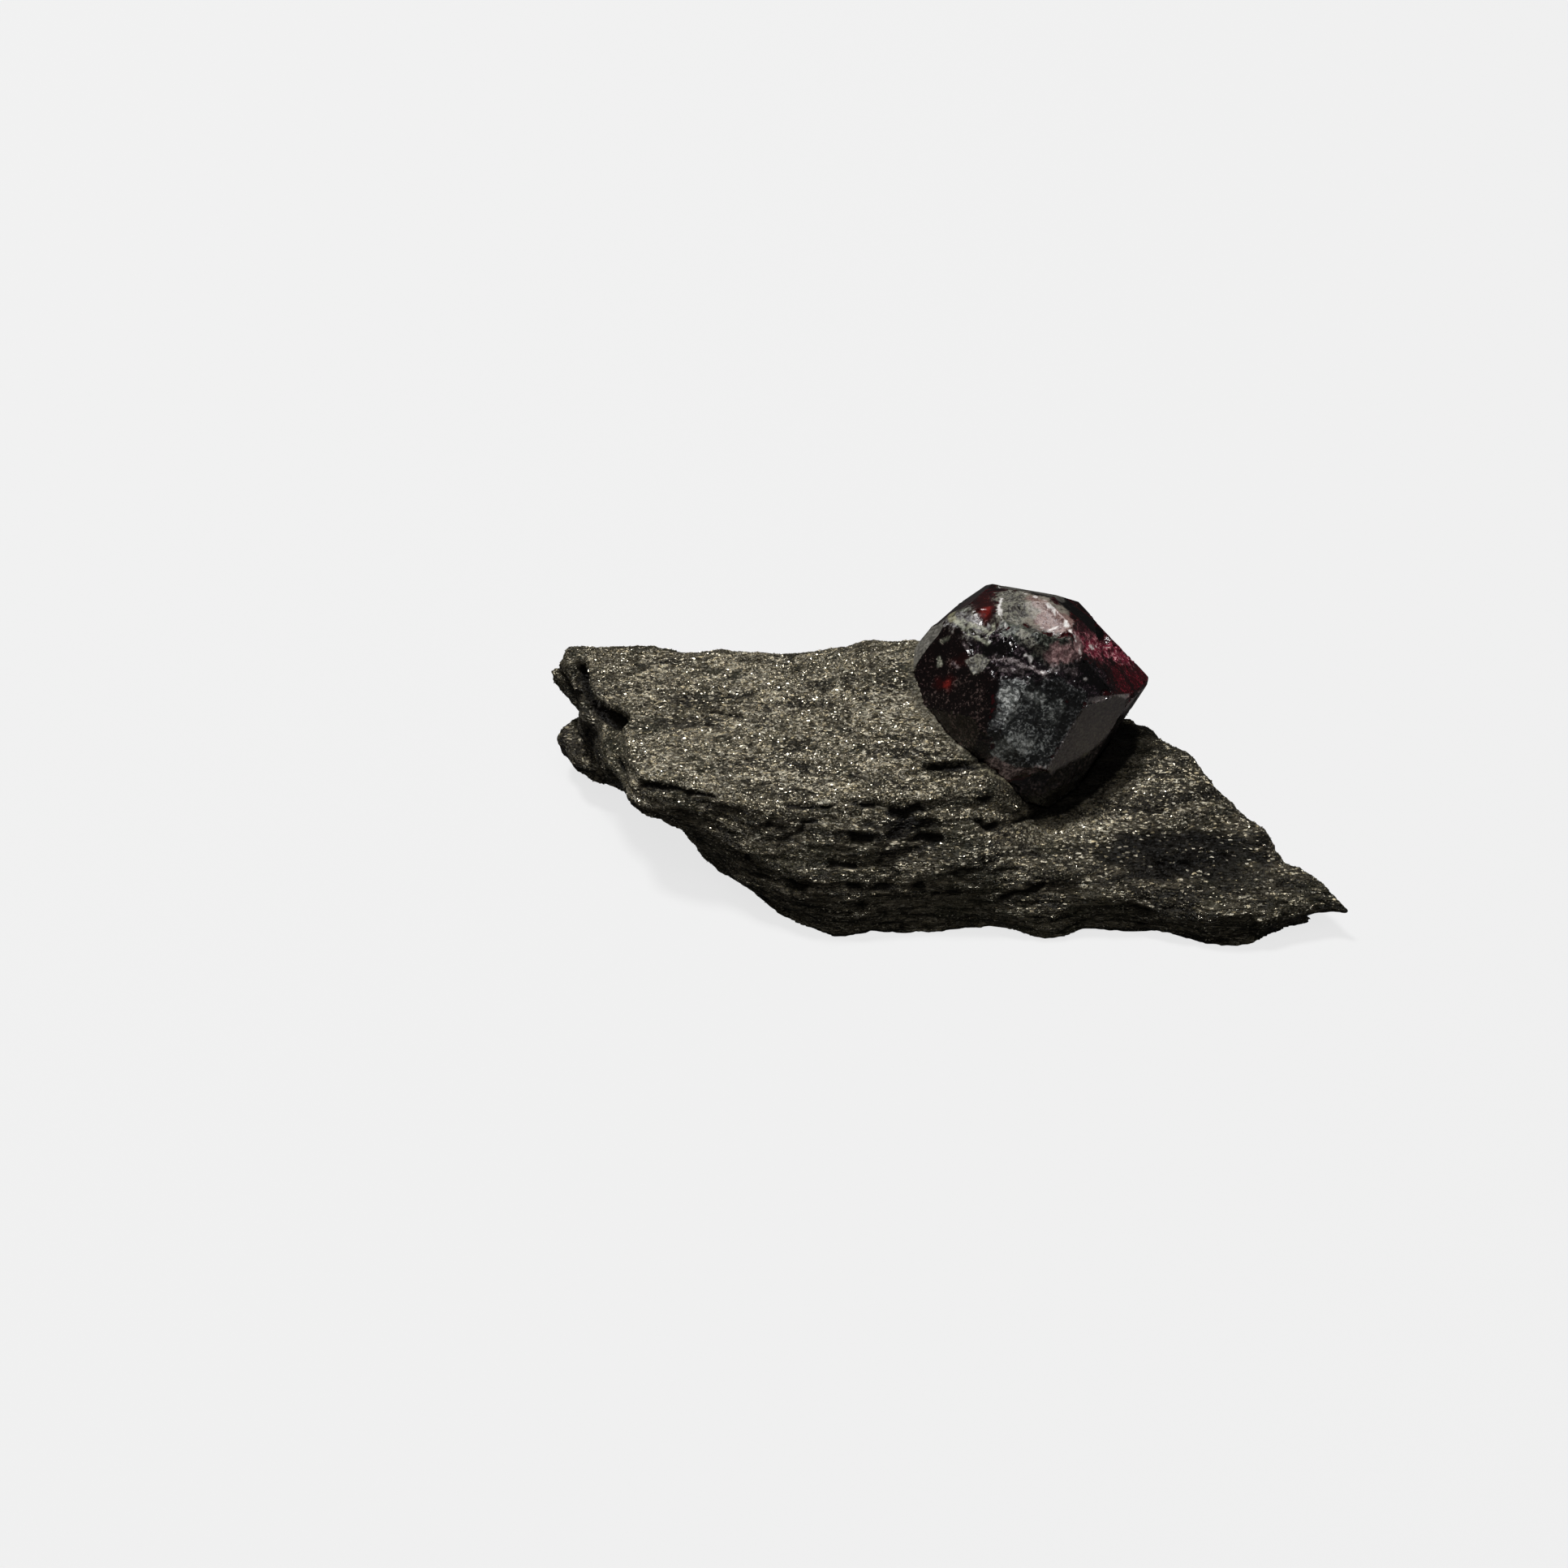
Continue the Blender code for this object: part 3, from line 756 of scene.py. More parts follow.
def makeFlakes():
    random = np.random.default_rng(7)
    centres, normals, areas = surfaceOf(schistSkin)
    beyond = beyondFaces(centres)[0]
    firstCorner = np.array([face.vertices[0] for face in schistSkin.data.polygons])
    paintedShade, cleavage, dull = (readShade(schistSkin, name)[firstCorner]
                               for name in ("paintedShade", "cleavage", "dull"))
    clear = (beyond > 0.4) & (centres[:, 2] > 0.4) & (paintedShade < 0.4) & (dull < 0.45)
    silverMica = makeMicaMaterial()
    for name, count, low, high, smallest, largest, lean in flakeSets:
        weight = areas * clear * (normals[:, 2] >= low) * (normals[:, 2] < high) * (0.12 + cleavage)
        weight *= 0.35 + ramp(noiseAt(centres, (4.5, 1.6, 3.0), 5.0), -0.35, 0.4)
        chosen = random.choice(len(areas), count, p=weight / weight.sum())
        foliation = normals[chosen] + (0, 0, 0.35)
        widths = random.uniform(smallest, largest, count)
        jitter = random.uniform(-micaPlate["scatter"], micaPlate["scatter"], (count, 3))
        raised = micaPlate["raised"] - (jitter * normals[chosen]).sum(1)
        places = centres[chosen] + jitter + normals[chosen] * raised[:, None]
        piece = scatteredFlakes(name, places, foliation, widths, micaPlate["thickness"], lean, random)
        piece.data.materials.append(silverMica)
        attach(piece, "root")
        print(name, len(piece.data.polygons), "faces")


makeFlakes()


# Garnet

# the kinds of surface on the crystal: base colour, colour of its grains, share the grains cover,
# clearness, roughness, and how jagged and how grainy it is
kinds = {
    "deep": ((0.008, 0.002, 0.002), (0.05, 0.02, 0.018), 0.05, 0.98, 0.05, 0, 0),
    "faceLeft": ((0.0045, 0.001, 0.001), (0.07, 0.04, 0.036), 0.08, 0.3, 0.07, 0.12, 0.1),
    "maroon": ((0.0034, 0.0012, 0.001), (0.065, 0.04, 0.034), 0.2, 0, 0.12, 0, 0.25),
    # the red glow and the red spot are painted glow of light shining through the crystal
    "redGlow": ((0.035, 0.0015, 0.0015), (0.1, 0.01, 0.008), 0.05, 0.15, 0.12, 0, 0.05),
    "redGlowSpot": ((0.23, 0.016, 0.012), (0.45, 0.09, 0.06), 0.12, 0, 0.2, 0, 0.1),
    # the tip's crimson is a painted glow of light through its thin end
    "tipGlow": ((0.068, 0.001, 0.005), (0.26, 0.01, 0.026), 0.2, 0.3, 0.08, 0.25, 0.2),
    "tipDark": ((0.016, 0.0006, 0.0012), (0.05, 0.002, 0.005), 0.2, 0.5, 0.06, 0.05, 0.05),
    # the crimson band is a painted glow with painted pink glints
    "crimsonGlow": ((0.2, 0.018, 0.04), (0.66, 0.3, 0.32), 0.26, 0, 0.18, 0.8, 0.6),
    "crimsonDark": ((0.045, 0.006, 0.01), (0.16, 0.04, 0.05), 0.35, 0.2, 0.15, 0.5, 0.3),
    "pale": ((0.142, 0.122, 0.1), (0.29, 0.26, 0.21), 0.5, 0, 0.36, 0, 0.5),
    "rosy": ((0.18, 0.099, 0.088), (0.34, 0.22, 0.19), 0.35, 0, 0.34, 0, 0.5),
    "mottled": ((0.058, 0.051, 0.045), (0.29, 0.28, 0.22), 0.43, 0, 0.34, 0.45, 0.9),
    "greenish": ((0.02, 0.023, 0.018), (0.16, 0.175, 0.14), 0.38, 0, 0.35, 0.5, 0.7),
    "swirl": ((0.15, 0.155, 0.115), (0.44, 0.44, 0.33), 0.46, 0, 0.32, 0.6, 0.7),
    "swirlDark": ((0.022, 0.014, 0.014), (0.11, 0.105, 0.085), 0.4, 0, 0.3, 0.5, 0.6),
    "pink": ((0.2, 0.105, 0.105), (0.48, 0.3, 0.29), 0.4, 0, 0.3, 0.5, 0.6),
    "belt": ((0.006, 0.0035, 0.005), (0.075, 0.05, 0.062), 0.24, 0.1, 0.12, 1.0, 0.3),
    "ripple": ((0.1, 0.075, 0.078), (0.38, 0.32, 0.32), 0.45, 0, 0.22, 0.8, 0.7),
    # the crystal's darkest colour, also painted as shadow on its lowest part
    "black": ((0.0015, 0.001, 0.001), (0.008, 0.006, 0.006), 0.1, 0, 0.08, 0.1, 0.1),
    "foot": ((0.004, 0.003, 0.003), (0.085, 0.062, 0.058), 0.24, 0, 0.3, 0.6, 0.9),
    "coat": ((0.028, 0.031, 0.031), (0.44, 0.46, 0.44), 0.3, 0, 0.42, 0, 1.0),
    "coatLight": ((0.14, 0.15, 0.14), (0.62, 0.63, 0.6), 0.4, 0, 0.4, 0, 1.0),
    "coatDark": ((0.01, 0.011, 0.011), (0.22, 0.23, 0.23), 0.24, 0, 0.3, 0.1, 0.9),
    # a painted grey reflection on the bevel
    "paintedReflection": ((0.185, 0.16, 0.158), (0.21, 0.19, 0.165), 0.3, 0, 0.22, 0, 0),
    "sill": ((0.1, 0.065, 0.062), (0.5, 0.37, 0.34), 0.4, 0, 0.4, 0.5, 0.9),
    "olive": ((0.16, 0.15, 0.085), (0.34, 0.32, 0.2), 0.4, 0, 0.4, 0.2, 0.7),
    "streaked": ((0.1, 0.095, 0.082), (0.24, 0.23, 0.2), 0.4, 0, 0.36, 0, 0.4),
    "edgeLight": ((0.62, 0.52, 0.52), (0.75, 0.66, 0.66), 0.4, 0, 0.3, 0, 0),
    # a painted grey reflection on the back face and the top edge
    "backReflection": ((0.075, 0.07, 0.06), (0.1, 0.095, 0.085), 0.3, 0, 0.3, 0, 0.1),
    # painted glints and highlights on ridges, rims and chips
    "whiteGlints": ((0.85, 0.77, 0.73), (0.97, 0.94, 0.9), 0.6, 0, 0.15, 0.2, 0.4),
}
# strokes in the order they lie: kind, strength, half width, raggedness, and the line that each follows; the
# glow, glint and reflection kinds among them are painted light
strokes = (
    ("tipDark", 1, 4.4, 0.8, ((17.2, 5.0, 13.0), (14.6, 3.4, 15.6))),
    ("tipGlow", 1, 1.9, 0.8, ((17.6, 5.6, 12.6), (15.6, 3.4, 14.8), (16.2, 2.2, 13.4))),
    ("crimsonDark", 1, 2.2, 0.7, ((11.8, 3.6, 18.6), (13.6, 5.8, 16.6), (15.4, 6.8, 15.2))),
    ("crimsonGlow", 1, 1.15, 0.7, ((11.5, 2.8, 19.0), (12.6, 3.7, 17.9), (14.1, 5.4, 16.4), (15.6, 6.0, 15.2))),
    ("redGlow", 1, 1.7, 0.6, ((3.0, 9.6, 18.6), (3.7, 7.6, 19.6), (3.4, 6.0, 19.8))),
    ("faceLeft", 1, 5.5, 0.5, ((-1.0, 3.6, 16.8), (2.0, 1.0, 17.8))),
    ("swirlDark", 1, 1.9, 0.5, ((1.0, 7.0, 18.8), (2.2, 5.6, 19.4), (3.4, 3.4, 19.9))),
    ("belt", 1, 2.1, 0.6, ((3.4, 1.4, 19.6), (5.4, 0.2, 20.0), (7.8, -0.8, 19.4), (10.6, -0.4, 18.2),
        (12.4, 0.2, 17.2))),
    ("belt", 0.9, 1.2, 0.6, ((5.2, -1.2, 18.7), (8.0, -1.5, 18.4), (10.8, -1.0, 17.4), (12.4, -0.4, 16.6))),
    ("faceLeft", 1, 4.2, 0.5, ((-2.4, 3.4, 14.6), (-0.8, 0.4, 13.8))),
    ("maroon", 1, 3.7, 0.5, ((0.8, -0.2, 15.4), (2.0, -2.6, 14.0), (3.0, -3.6, 11.4))),
    ("pale", 1, 2.1, 0.35, ((7.0, 8.2, 19.7), (7.6, 6.0, 19.9), (8.7, 5.4, 19.8))),
    ("rosy", 1, 1.15, 0.4, ((8.6, 5.0, 19.7), (9.5, 4.6, 19.8), (10.1, 4.4, 19.9))),
    ("rosy", 0.8, 0.6, 0.5, ((7.4, 8.2, 19.7), (8.2, 6.8, 20.1), (8.9, 5.6, 20.1))),
    ("black", 1, 0.75, 0.3, ((8.0, 9.6, 19.4), (9.7, 8.2, 19.8), (10.7, 7.2, 19.7), (11.6, 6.2, 19.4),
        (12.5, 6.0, 18.4), (13.2, 7.0, 16.9))),
    ("mottled", 1, 1.5, 0.5, ((5.7, 9.2, 19.2), (5.6, 6.6, 20.1), (5.8, 4.6, 20.4), (6.2, 2.6, 20.9))),
    ("greenish", 1, 2.2, 0.4, ((6.6, 2.6, 20.9), (7.6, 1.6, 21.3), (9.2, 1.2, 20.6))),
    ("mottled", 0.9, 0.6, 0.6, ((6.4, 1.4, 21.4), (6.9, 0.4, 21.0), (8.2, 0.2, 20.3), (9.4, 0.5, 19.9))),
    ("mottled", 0.8, 0.45, 0.5, ((7.4, 2.6, 20.6), (8.6, 2.4, 20.3), (9.8, 2.2, 20.2))),
    ("black", 0.9, 0.4, 0.6, ((7.6, 1.5, 21.3), (8.3, 1.2, 21.1))),
    ("black", 0.7, 0.22, 0.8, ((5.2, 4.6, 20.4), (6.0, 3.6, 20.6), (6.6, 2.2, 21.0))),
    ("black", 0.6, 0.2, 0.8, ((6.3, 6.4, 20.1), (6.9, 5.0, 20.2), (7.8, 3.6, 20.3))),
    ("black", 0.8, 0.35, 0.6, ((9.0, 1.9, 20.6), (9.7, 2.0, 20.4))),
    ("pink", 1, 0.85, 0.5, ((8.8, 0.2, 20.0), (9.9, 0.7, 19.7), (10.9, 1.5, 19.4), (11.2, 2.4, 19.3))),
    ("ripple", 0.9, 0.32, 0.8, ((3.9, 0.7, 19.4), (4.7, 0.0, 19.6), (5.6, -0.4, 19.6), (7.2, -0.9, 19.4),
        (8.2, -1.1, 19.0))),
    ("ripple", 0.7, 0.25, 0.8, ((4.4, -0.5, 19.0), (5.6, -0.9, 19.1), (6.8, -1.2, 18.8))),
    ("ripple", 0.6, 0.3, 0.8, ((8.8, -0.6, 19.2), (9.8, -0.3, 18.8), (10.7, -0.1, 18.3))),
    ("ripple", 0.5, 0.25, 0.8, ((8.8, -1.5, 18.1), (10.2, -0.9, 17.9))),
    ("black", 0.9, 0.8, 0.7, ((3.6, 1.5, 19.4), (4.8, 0.8, 20.2))),
    ("black", 0.8, 0.7, 0.7, ((11.6, 0.8, 18.5), (12.3, 0.4, 17.5), (13.4, 0.5, 16.5))),
    ("swirl", 1, 0.26, 0.5, ((0.8, 6.1, 19.0), (1.3, 5.0, 19.2), (2.1, 3.8, 19.3), (2.8, 2.8, 19.6),
        (3.5, 2.0, 19.7))),
    ("swirl", 0.9, 0.2, 0.5, ((1.5, 5.6, 19.3), (2.4, 5.0, 19.3), (3.2, 4.6, 19.2), (3.6, 3.2, 19.9))),
    ("swirl", 0.8, 0.2, 0.6, ((1.4, 7.0, 19.3), (2.1, 6.7, 19.6), (2.6, 5.9, 19.6))),
    ("swirl", 0.9, 0.24, 0.6, ((3.9, 4.4, 19.8), (4.0, 3.0, 20.2), (3.4, 2.5, 20.0))),
    ("swirl", 0.7, 0.2, 0.6, ((1.7, 4.8, 19.2), (2.6, 4.3, 19.3), (3.2, 3.6, 19.6))),
    ("black", 0.8, 0.3, 0.7, ((3.2, 3.1, 19.8), (2.2, 4.4, 19.3))),
    ("olive", 1, 0.42, 0.3, ((0.7, 8.6, 17.6), (0.6, 7.4, 18.3), (0.7, 6.2, 18.9))),
    ("redGlow", 1, 1.1, 0.3, ((3.4, 7.2, 19.7), (3.3, 5.7, 19.8))),
    ("redGlowSpot", 1, 0.6, 0.2, ((3.7, 6.3, 20.0), (3.4, 5.9, 19.9))),
    ("redGlow", 0.9, 0.8, 0.5, ((0.2, 1.2, 16.0), (-0.4, 1.6, 15.6))),
    ("redGlowSpot", 1, 0.4, 0.3, ((0.2, 1.2, 15.95), (0.0, 1.25, 15.8))),
    ("redGlow", 0.4, 0.7, 0.6, ((0.9, 2.3, 17.4), (1.4, 2.2, 17.9))),
    ("swirl", 0.8, 0.3, 0.5, ((-0.5, 3.4, 16.8), (-0.45, 3.0, 16.6))),
    ("swirl", 0.5, 0.22, 0.6, ((-0.3, 4.6, 17.8), (0.3, 4.5, 18.2))),
    ("ripple", 0.6, 0.24, 0.6, ((1.4, 3.3, 18.7), (1.7, 2.8, 18.6))),
    ("ripple", 0.4, 0.2, 0.6, ((0.6, 2.4, 17.2), (1.0, 1.8, 17.2))),
    ("coat", 1, 2.1, 0.35, ((5.8, -2.2, 17.0), (6.0, -3.4, 14.2), (5.4, -4.2, 12.6))),
    ("coat", 1, 1.9, 0.4, ((8.4, -2.2, 16.6), (8.0, -3.4, 14.0), (7.0, -4.2, 12.6))),
    ("coatDark", 0.9, 1.1, 0.6, ((9.4, -1.5, 17.6), (10.8, -1.6, 16.6), (10.0, -3.0, 14.4))),
    ("coatLight", 0.9, 0.65, 0.7, ((4.9, -1.9, 17.6), (5.4, -2.4, 16.9))),
    ("coatLight", 1, 0.5, 0.7, ((6.7, -2.1, 17.5), (7.9, -2.1, 17.0))),
    ("coatLight", 0.8, 0.7, 0.7, ((9.3, -2.1, 16.3), (9.0, -2.5, 15.5))),
    ("coatLight", 0.8, 0.8, 0.7, ((4.5, -3.8, 13.0), (5.7, -3.8, 14.0), (6.6, -3.9, 13.4))),
    ("coatLight", 0.6, 0.6, 0.7, ((4.6, -3.0, 15.7), (5.2, -2.8, 16.0))),
    ("coatDark", 0.9, 0.7, 0.7, ((3.9, -3.3, 15.2), (4.1, -3.5, 14.6))),
    ("coatDark", 0.6, 0.4, 0.9, ((6.3, -2.4, 17.2), (6.9, -2.9, 16.0), (7.8, -3.3, 14.6))),
    ("coatDark", 0.7, 0.4, 0.9, ((8.3, -1.4, 17.9), (8.8, -2.0, 16.8), (9.4, -2.6, 15.4))),
    ("coatDark", 0.9, 0.5, 0.7, ((5.8, -4.3, 12.2), (6.8, -4.4, 12.0), (7.6, -4.2, 12.2))),
    ("coatDark", 0.7, 0.9, 0.7, ((10.6, -2.4, 14.8), (9.4, -3.2, 13.4))),
    ("sill", 1, 0.6, 0.6, ((3.9, -3.9, 11.6), (4.8, -4.1, 11.1), (5.6, -4.2, 10.9), (6.6, -4.3, 10.8),
        (7.6, -4.3, 11.0))),
    ("sill", 1, 0.5, 0.6, ((4.8, -4.2, 10.7), (5.5, -4.3, 10.3), (6.3, -4.4, 10.3))),
    ("backReflection", 1, 0.55, 0.1, ((5.2, 11.9, 18.1), (5.9, 11.3, 18.3), (7.6, 10.3, 18.9), (8.9, 9.0, 19.5),
        (9.9, 7.9, 19.8))),
    ("whiteGlints", 0.35, 0.16, 0.5, ((6.9, -4.2, 10.4), (7.8, -4.3, 10.9), (8.5, -4.3, 11.4))),
    ("whiteGlints", 1, 0.13, 0.5, ((4.95, 8.6, 19.3), (4.8, 7.6, 19.7), (4.6, 6.6, 20.1), (4.5, 5.3, 20.5))),
    ("whiteGlints", 1, 0.26, 0.5, ((4.55, 5.7, 20.3), (4.6, 5.2, 20.5))),
    ("whiteGlints", 0.7, 0.11, 0.3, ((4.5, 5.3, 20.5), (4.8, 4.0, 20.7), (5.0, 2.6, 20.8))),
    ("whiteGlints", 0.9, 0.2, 0.9, ((5.4, 0.5, 20.8), (6.2, 0.0, 20.6), (6.9, -0.3, 20.0), (7.5, -0.7, 19.3),
        (8.3, -1.0, 18.9))),
    ("whiteGlints", 1, 0.26, 0.4, ((6.85, -0.3, 20.0), (7.0, -0.35, 19.9))),
    ("whiteGlints", 0.9, 0.17, 0.9, ((6.9, 9.5, 19.1), (7.7, 8.4, 19.6), (8.5, 7.0, 20.3), (8.9, 6.2, 20.3),
        (9.5, 5.2, 20.2))),
    ("whiteGlints", 1, 0.2, 0.9, ((9.8, 4.7, 20.0), (10.3, 4.0, 20.0), (10.6, 3.2, 19.9), (10.9, 2.4, 19.7))),
    ("whiteGlints", 0.7, 0.14, 0.8, ((7.8, 4.5, 19.6), (8.7, 4.0, 19.5), (9.4, 4.2, 19.7))),
    ("whiteGlints", 0.6, 0.14, 0.9, ((11.2, 2.4, 19.3), (11.3, 1.6, 19.2), (11.1, 0.9, 18.9))),
    ("whiteGlints", 0.8, 0.16, 0.4, ((11.6, 0.0, 17.5), (11.7, 0.0, 17.5))),
    ("whiteGlints", 1, 0.15, 0.5, ((16.9, 4.9, 13.2), (17.0, 4.6, 13.2))),
    ("whiteGlints", 0.8, 0.2, 0.8, ((12.3, 3.4, 18.2), (12.8, 3.9, 17.8))),
    ("tipDark", 0.8, 0.35, 0.9, ((15.0, 3.8, 15.2), (16.0, 3.0, 14.0), (16.4, 2.2, 13.4))),
    ("whiteGlints", 0.6, 0.22, 0.8, ((13.7, 5.2, 16.8), (14.2, 5.6, 16.2))),
    ("edgeLight", 1, 0.2, 0.0, ((15.3, 0.9, 13.2), (16.3, 2.6, 13.0), (17.1, 4.0, 12.8))),
)
# where the parts of a kind stand in its row
columns = {"tint": 0, "grainTint": 3, "grains": 6, "clear": 7, "gloss": 8, "jagged": 9, "grainy": 10}
# which way some of the crystal's faces look
facing = {
    "bevel": (0.598, -0.799, 0.061), "overBevel": (0.54, -0.59, 0.6), "turnedAway": (0.836, -0.479, -0.267),
    "left": (-0.638, -0.428, 0.640), "farLeft": (-0.851, 0.03, 0.524), "back": (0.259, 0.664, 0.702),
}
# places where the crystal stands out a little further than in the solids: centre, radii and shift
bulges = (
    ((-2.7, 5.6, 16.0), (2.8, 4.4, 3.0), (-0.6, 0.1, 0.2)),
    ((17.6, 5.2, 13.2), (5.5, 5.5, 5.5), (0.34, 0.03, 0.0)),
)
# the grey bevel's outline as the photo shows it, corner by corner
bevelOutline = ((12.1, -0.9, 16.2), (15.9, 2.2, 14.0), (15.3, 0.9, 13.2), (13.6, -0.6, 11.7),
        (11.5, -2.2, 10.4), (9.3, -3.9, 10.7), (8.6, -4.2, 11.5), (9.8, -3.2, 13.4))
# a little olive rock dust below the bevel: centre and radii
oliveSpot = ((12.0, -1.9, 10.4), (0.6, 0.6, 0.3))
# the grey rhomb of rock dust on the left face, corner by corner
rhomb = ((1.5, 1.9, 17.9), (2.6, 1.8, 18.8), (3.6, 0.6, 19.1), (3.0, 0.2, 18.2), (2.2, 0.4, 17.6))


def snapToFaces(places):
    # put the grid's points back on the flat faces, and on the edges between two of them
    depth, nearest, beyond = beyondFaces(places)
    onFace = depth > -garnet["openDepth"]
    moved = places.copy()
    rows = np.arange(len(places))
    moved[onFace] -= faceNormals[nearest[onFace]] * depth[onFace, None]
    second = beyond.copy()
    second[rows, nearest] = -1e9
    other = second.argmax(axis=1)
    beyondOther = (moved * faceNormals[other]).sum(1) - faceReaches[other]
    onEdge = onFace & (abs(beyondOther) < garnet["edgeSnap"])
    first, beside = faceNormals[nearest], faceNormals[other]
    along = beside - first * (first * beside).sum(1)[:, None]
    along /= np.maximum((along ** 2).sum(1), 1e-6)[:, None]
    moved[onEdge] -= along[onEdge] * beyondOther[onEdge, None]
    return moved, onFace, nearest


def paint(base, share, colour):
    return base + share[:, None] * (np.array(colour) - base)


def faceNear(name):
    return int((faceNormals @ np.array(facing[name])).argmax())


def scooped(places, normals, share, count, sizes, random):
    # depth of shallow shell-like bites, most of them where share is high, between two radii
    chosen = random.choice(len(places), count, p=share / share.sum())
    radii = random.uniform(*sizes, count) ** 1.5 / sizes[1] ** 0.5
    middles = places[chosen] + normals[chosen] * (radii * random.uniform(0.72, 0.9, count))[:, None]
    depth = np.zeros(len(places))
    for middle, radius in zip(middles, radii):
        depth = np.maximum(depth, radius - lengths(places - middle))
    return depth


def insideOutline(places, corners, normal, edge):
    # 1 inside a flat outline with corners in order, seen along its normal, 0 outside
    corners = np.array(corners)
    depth = np.full(len(places), 1e9)
    for start, end in zip(corners, np.roll(corners, -1, axis=0)):
        inward = np.cross(normal, end - start)
        inward /= np.linalg.norm(inward)
        inward *= np.sign((corners.mean(axis=0) - start) @ inward)
        depth = np.minimum(depth, (places - start) @ inward)
    return ramp(depth, -edge, edge)


def finishCrystal(piece):
    random = np.random.default_rng(3)
    places, onFace, nearest = snapToFaces(inMm(piece.data.vertices))
    for centre, radii, shift in bulges:
        reach = ballReach(places, centre, radii)
        places += np.clip(1 - reach, 0, 1)[:, None] * np.array(shift)
    setPlaces(piece, places)
    x, y, z = places.T
    normals = inMm(piece.data.vertices, "normal")
    fine = noiseAt(places, (0.3, 0.3, 0.3), 1.0)
    ragged = fractalAt(places, 0.7, 2.0)
    brokenUp = ramp(noiseAt(places, (0.45, 0.45, 0.45), 70.0), -0.2, 0.15)

    values = {name: np.concatenate([np.ravel(part) for part in row]) for name, row in kinds.items()}
    surface = np.tile(values["deep"], (len(places), 1))

    def lay(kind, share):
        nonlocal surface
        surface = paint(surface, np.clip(share, 0, 1), values[kind])

    bevelFace = (nearest == faceNear("bevel")) & onFace
    for kind, strength, width, raggedness, line in strokes:
        reach = distanceTo(places, line) / width + raggedness * ragged
        # the painted red glow fades out more softly than the other strokes
        fade = garnet["glowFade"] if kind in ("redGlow", "redGlowSpot") else garnet["strokeFade"]
        share = strength * (1 - ramp(reach, *fade))
        if kind in ("coat", "coatLight", "coatDark", "belt", "maroon"):
            share = share * ~bevelFace
        if kind == "maroon":
            share = share * (1 - ramp(x + 0.25 * ragged, *garnet["maroonEnds"]))
        # the painted glints along ragged strokes are broken up
        if kind == "whiteGlints" and raggedness > 0.6:
            share = share * brokenUp
        if kind == "coat":
            share = share * ramp(x + 0.25 * ragged, *garnet["coatBegins"])
        lay(kind, share)
    onLeft = nearest == faceNear("left")
    lay("swirl", 0.45 * insideOutline(places + 0.08 * ragged[:, None], rhomb, facing["left"], 0.08) * onLeft)
    lay("mottled", 0.8 * insideOutline(places, rhomb, facing["left"], 0.06) * onLeft)

    # the bevel with its painted grey reflection, the dust and the painted edge light on the turned-away face
    # beside it, the painted grey reflection on the faces behind, the foot, and painted shade and shadow low
    # down
    low = 1 - ramp(z + 1 - ramp(abs(x - 5.6), 0.8, 2.6), 10.2, 10.9)
    bevelled = insideOutline(places, bevelOutline, toCamera, 0.06) * onFace
    bevelled *= np.where(nearest == faceNear("overBevel"), 0.6, 1) * (normals[:, 1] < 0)
    belowBevel = ramp(-z - 0.55 * (12 - x), -10.6, -10.0)
    # painted grey reflection on the bevel
    lay("paintedReflection", np.maximum(bevelled, bevelFace * (1 - belowBevel)))
    fromSpot = lengths((places - oliveSpot[0]) / oliveSpot[1])
    lay("olive", 0.8 * (1 - ramp(fromSpot, 0.7, 1.2)))
    turnedAway = (nearest == faceNear("turnedAway")) & onFace
    # painted light along the lower edge of the turned-away face
    lay("edgeLight", turnedAway * ramp(z, 9.6, 10.4) * ramp(x, 15.4, 15.8))
    lay("streaked", 0.9 * (nearest == faceNear("farLeft")) * onFace)
    # painted grey reflection on the back face
    lay("backReflection", 0.9 * (nearest == faceNear("back")) * onFace)
    lay("foot", low)
    # painted shade on the faces below the bevel on the right
    lay("foot", belowBevel * (x > 8.4) * (y < 4) * 0.85)
    # painted shadow over the crystal's lowest part
    lay("black", 1 - ramp(z, 8.0, 8.8))

    # broken places are shell-like and jagged, coated ones grainy, and edges are nicked
    jagged, grainy = surface[:, columns["jagged"]], surface[:, columns["grainy"]]
    beyond = np.sort(beyondFaces(places)[2], axis=1)
    nearEdge = (beyond[:, -2] > -0.12) & onFace & (z > 8)
    bites = scooped(places, normals, jagged ** 2 + 1e-6, garnet["bites"], garnet["biteSizes"], random)
    bites *= ramp(jagged, 0.1, 0.6)
    nicks = scooped(places, normals, nearEdge + 1e-9, garnet["nicks"], garnet["nickSizes"], random)
    bites = np.maximum(bites, nicks * onFace)
    inward = bites + garnet["grainHeight"] * grainy * (fine + 0.7 * noiseAt(places, (0.6, 0.6, 0.6), 30.0))
    setPlaces(piece, places - normals * inward[:, None])

    ones = np.ones((len(places), 1))
    for name in ("tint", "grainTint"):
        first = columns[name]
        colours = np.hstack([surface[:, first:first + 3], ones]).astype(np.float32)
        piece.data.attributes.new(name, "FLOAT_COLOR", "POINT").data.foreach_set("color", colours.ravel())
    for name in ("grains", "clear", "gloss", "jagged", "grainy"):
        storeShade(piece, name, surface[:, columns[name]])


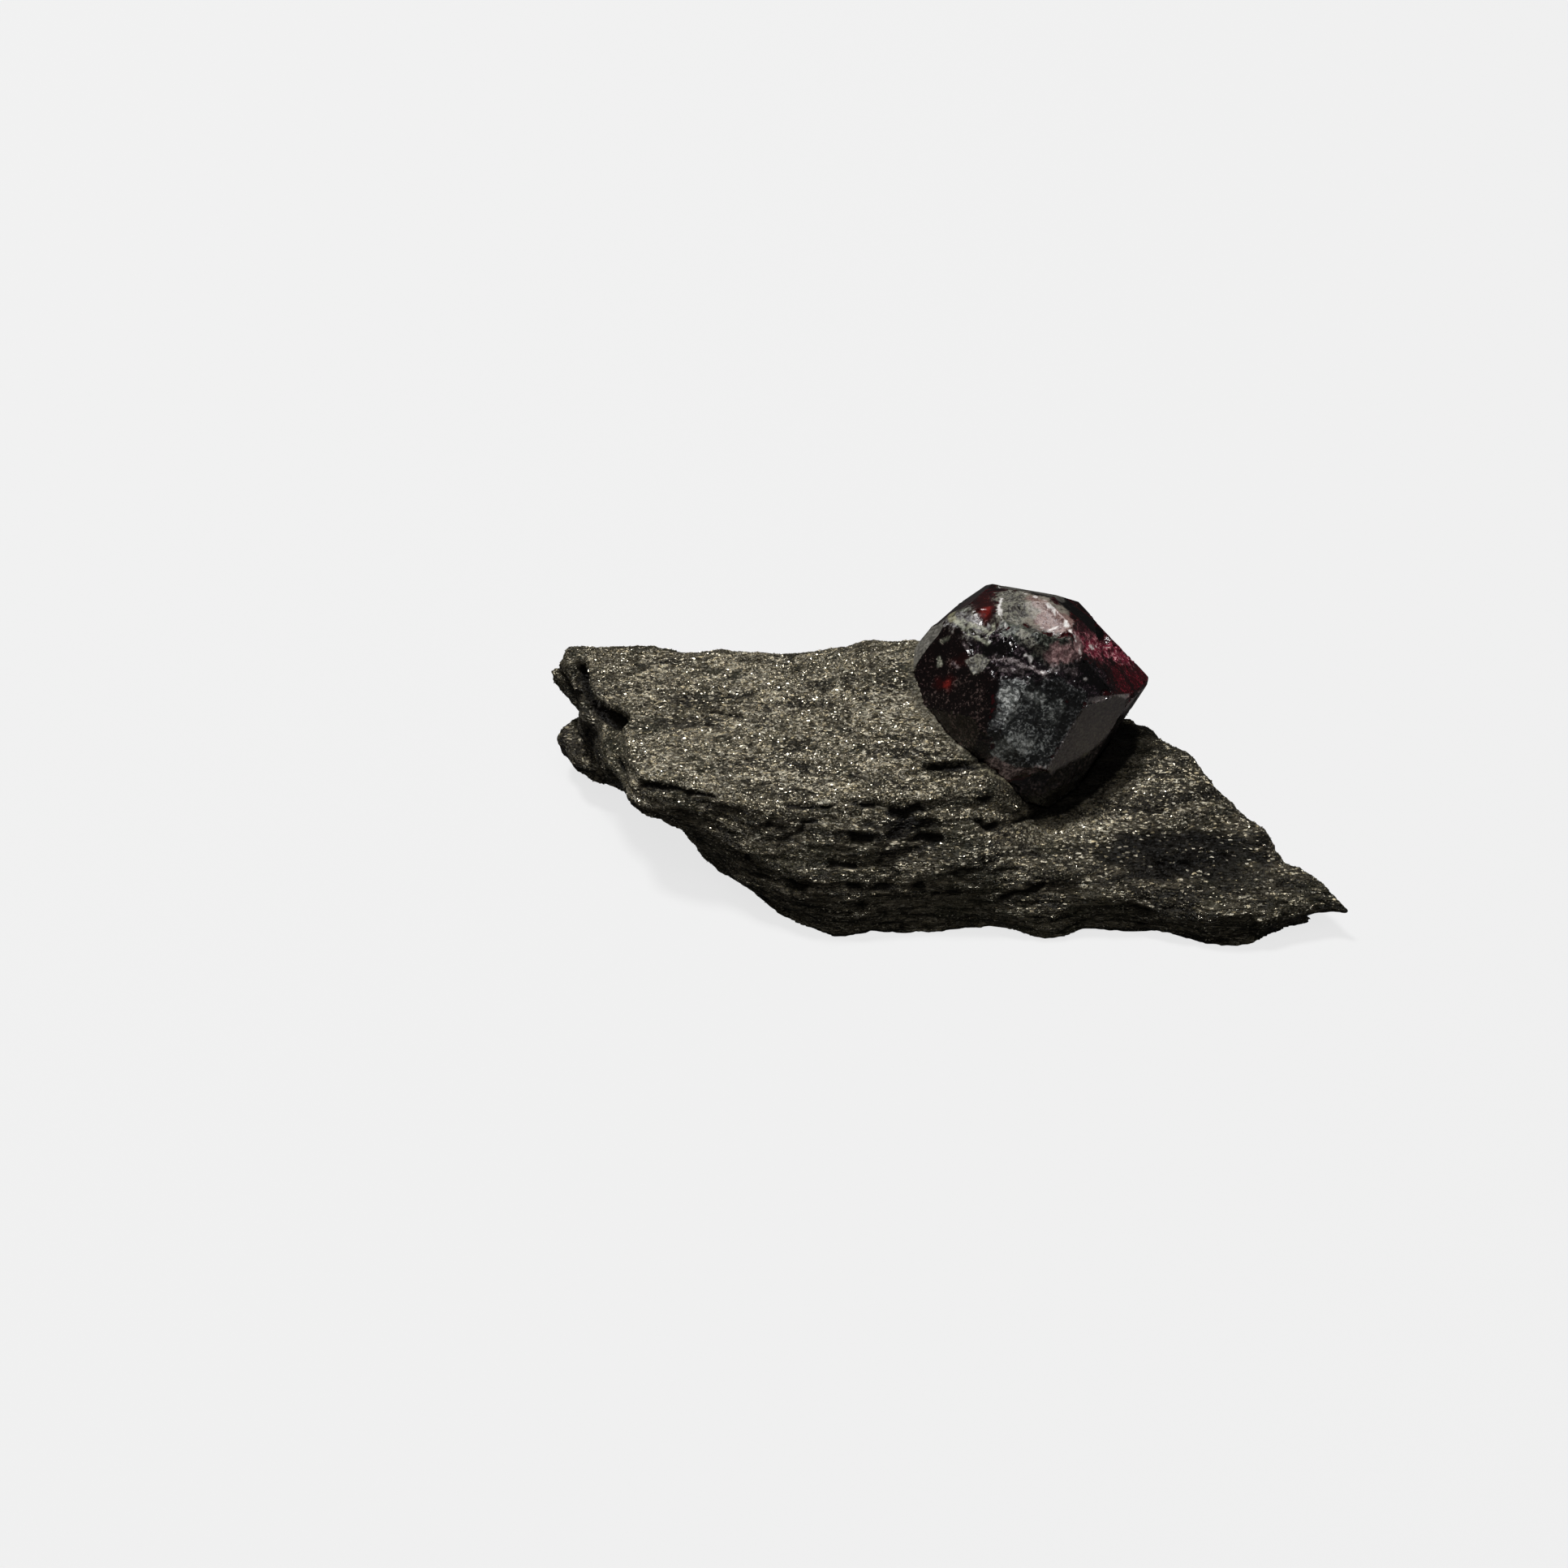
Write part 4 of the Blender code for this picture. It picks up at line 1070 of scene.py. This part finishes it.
def makeGarnetMaterial():
    shader = newMaterial("almandine")
    output = material.node_tree.nodes["Material Output"]
    place = coordinates((1, 1, 1))
    tint = node("Attribute", attribute_name="tint").outputs["Color"]
    grainTint = node("Attribute", attribute_name="grainTint").outputs["Color"]
    grains, clear = shadeOf("grains"), shadeOf("clear")
    jagged, grainy = shadeOf("jagged"), shadeOf("grainy")
    cloud = noiseNode(place, 0.9, 3.0, 0.6)
    grain = noiseNode(place, 3.8, 4.0, 0.75)
    chips = cells(place, 3.2)
    crystals = cells(place, 5.5)
    chipRandom = node("SeparateColor", {0: crystals}).outputs[0]

    # grains cover as much of the surface as their share says, in drifts
    level = plus(times(grain, 0.75), times(cloud, 0.25))
    level = plus(level, times(chipRandom, 0.10))
    level = plus(level, times(grains, 0.30))
    cover = between(level, 0.65, 0.715)
    dark = between(level, 0.42, 0.64, 0.35, 1.0)
    shaded = node("VectorMath", {0: tint, "Scale": dark}, operation="SCALE").outputs[0]
    colour = mixed(cover, shaded, grainTint)
    # where the crystal is clear, the tint only colours what shines through it
    clear = times(clear, minus(1.0, times(cover, 0.8)))
    colour = mixed(between(clear, 0.55, 0.8), colour, garnet["throughColour"])
    bump = node("Bump", {"Strength": times(grainy, 0.9), "Distance": 0.15 * mm, "Height": grain}).outputs[0]
    normal = tilted(bump, chips, times(jagged, 0.6))
    normal = tilted(normal, crystals, times(grainy, 0.35))
    fill(shader, {
        "Base Color": colour,
        "Roughness": mathNode("MAXIMUM", shadeOf("gloss"), times(cover, 0.4)),
        "Transmission Weight": clear,
        "IOR": garnet["ior"],
        "Normal": normal,
    })
    volume = node("VolumeAbsorption", {"Color": garnet["absorbColour"], "Density": garnet["absorbDensity"]})
    material.node_tree.links.new(volume.outputs[0], output.inputs["Volume"])
    return material


def makeCrystal():
    piece = copyOfNode("garnet_crystal", "garnetCrystal")
    applyModifier(piece, "REMESH", mode="VOXEL", voxel_size=garnet["gridStep"] * mm)
    finishCrystal(piece)
    only(piece)
    bpy.ops.object.shade_smooth()
    piece.data.materials.append(makeGarnetMaterial())
    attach(piece, "root")
    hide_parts("garnet_crystal")
    return piece


garnetCrystal = makeCrystal()
print("garnet:", len(garnetCrystal.data.polygons), "faces")
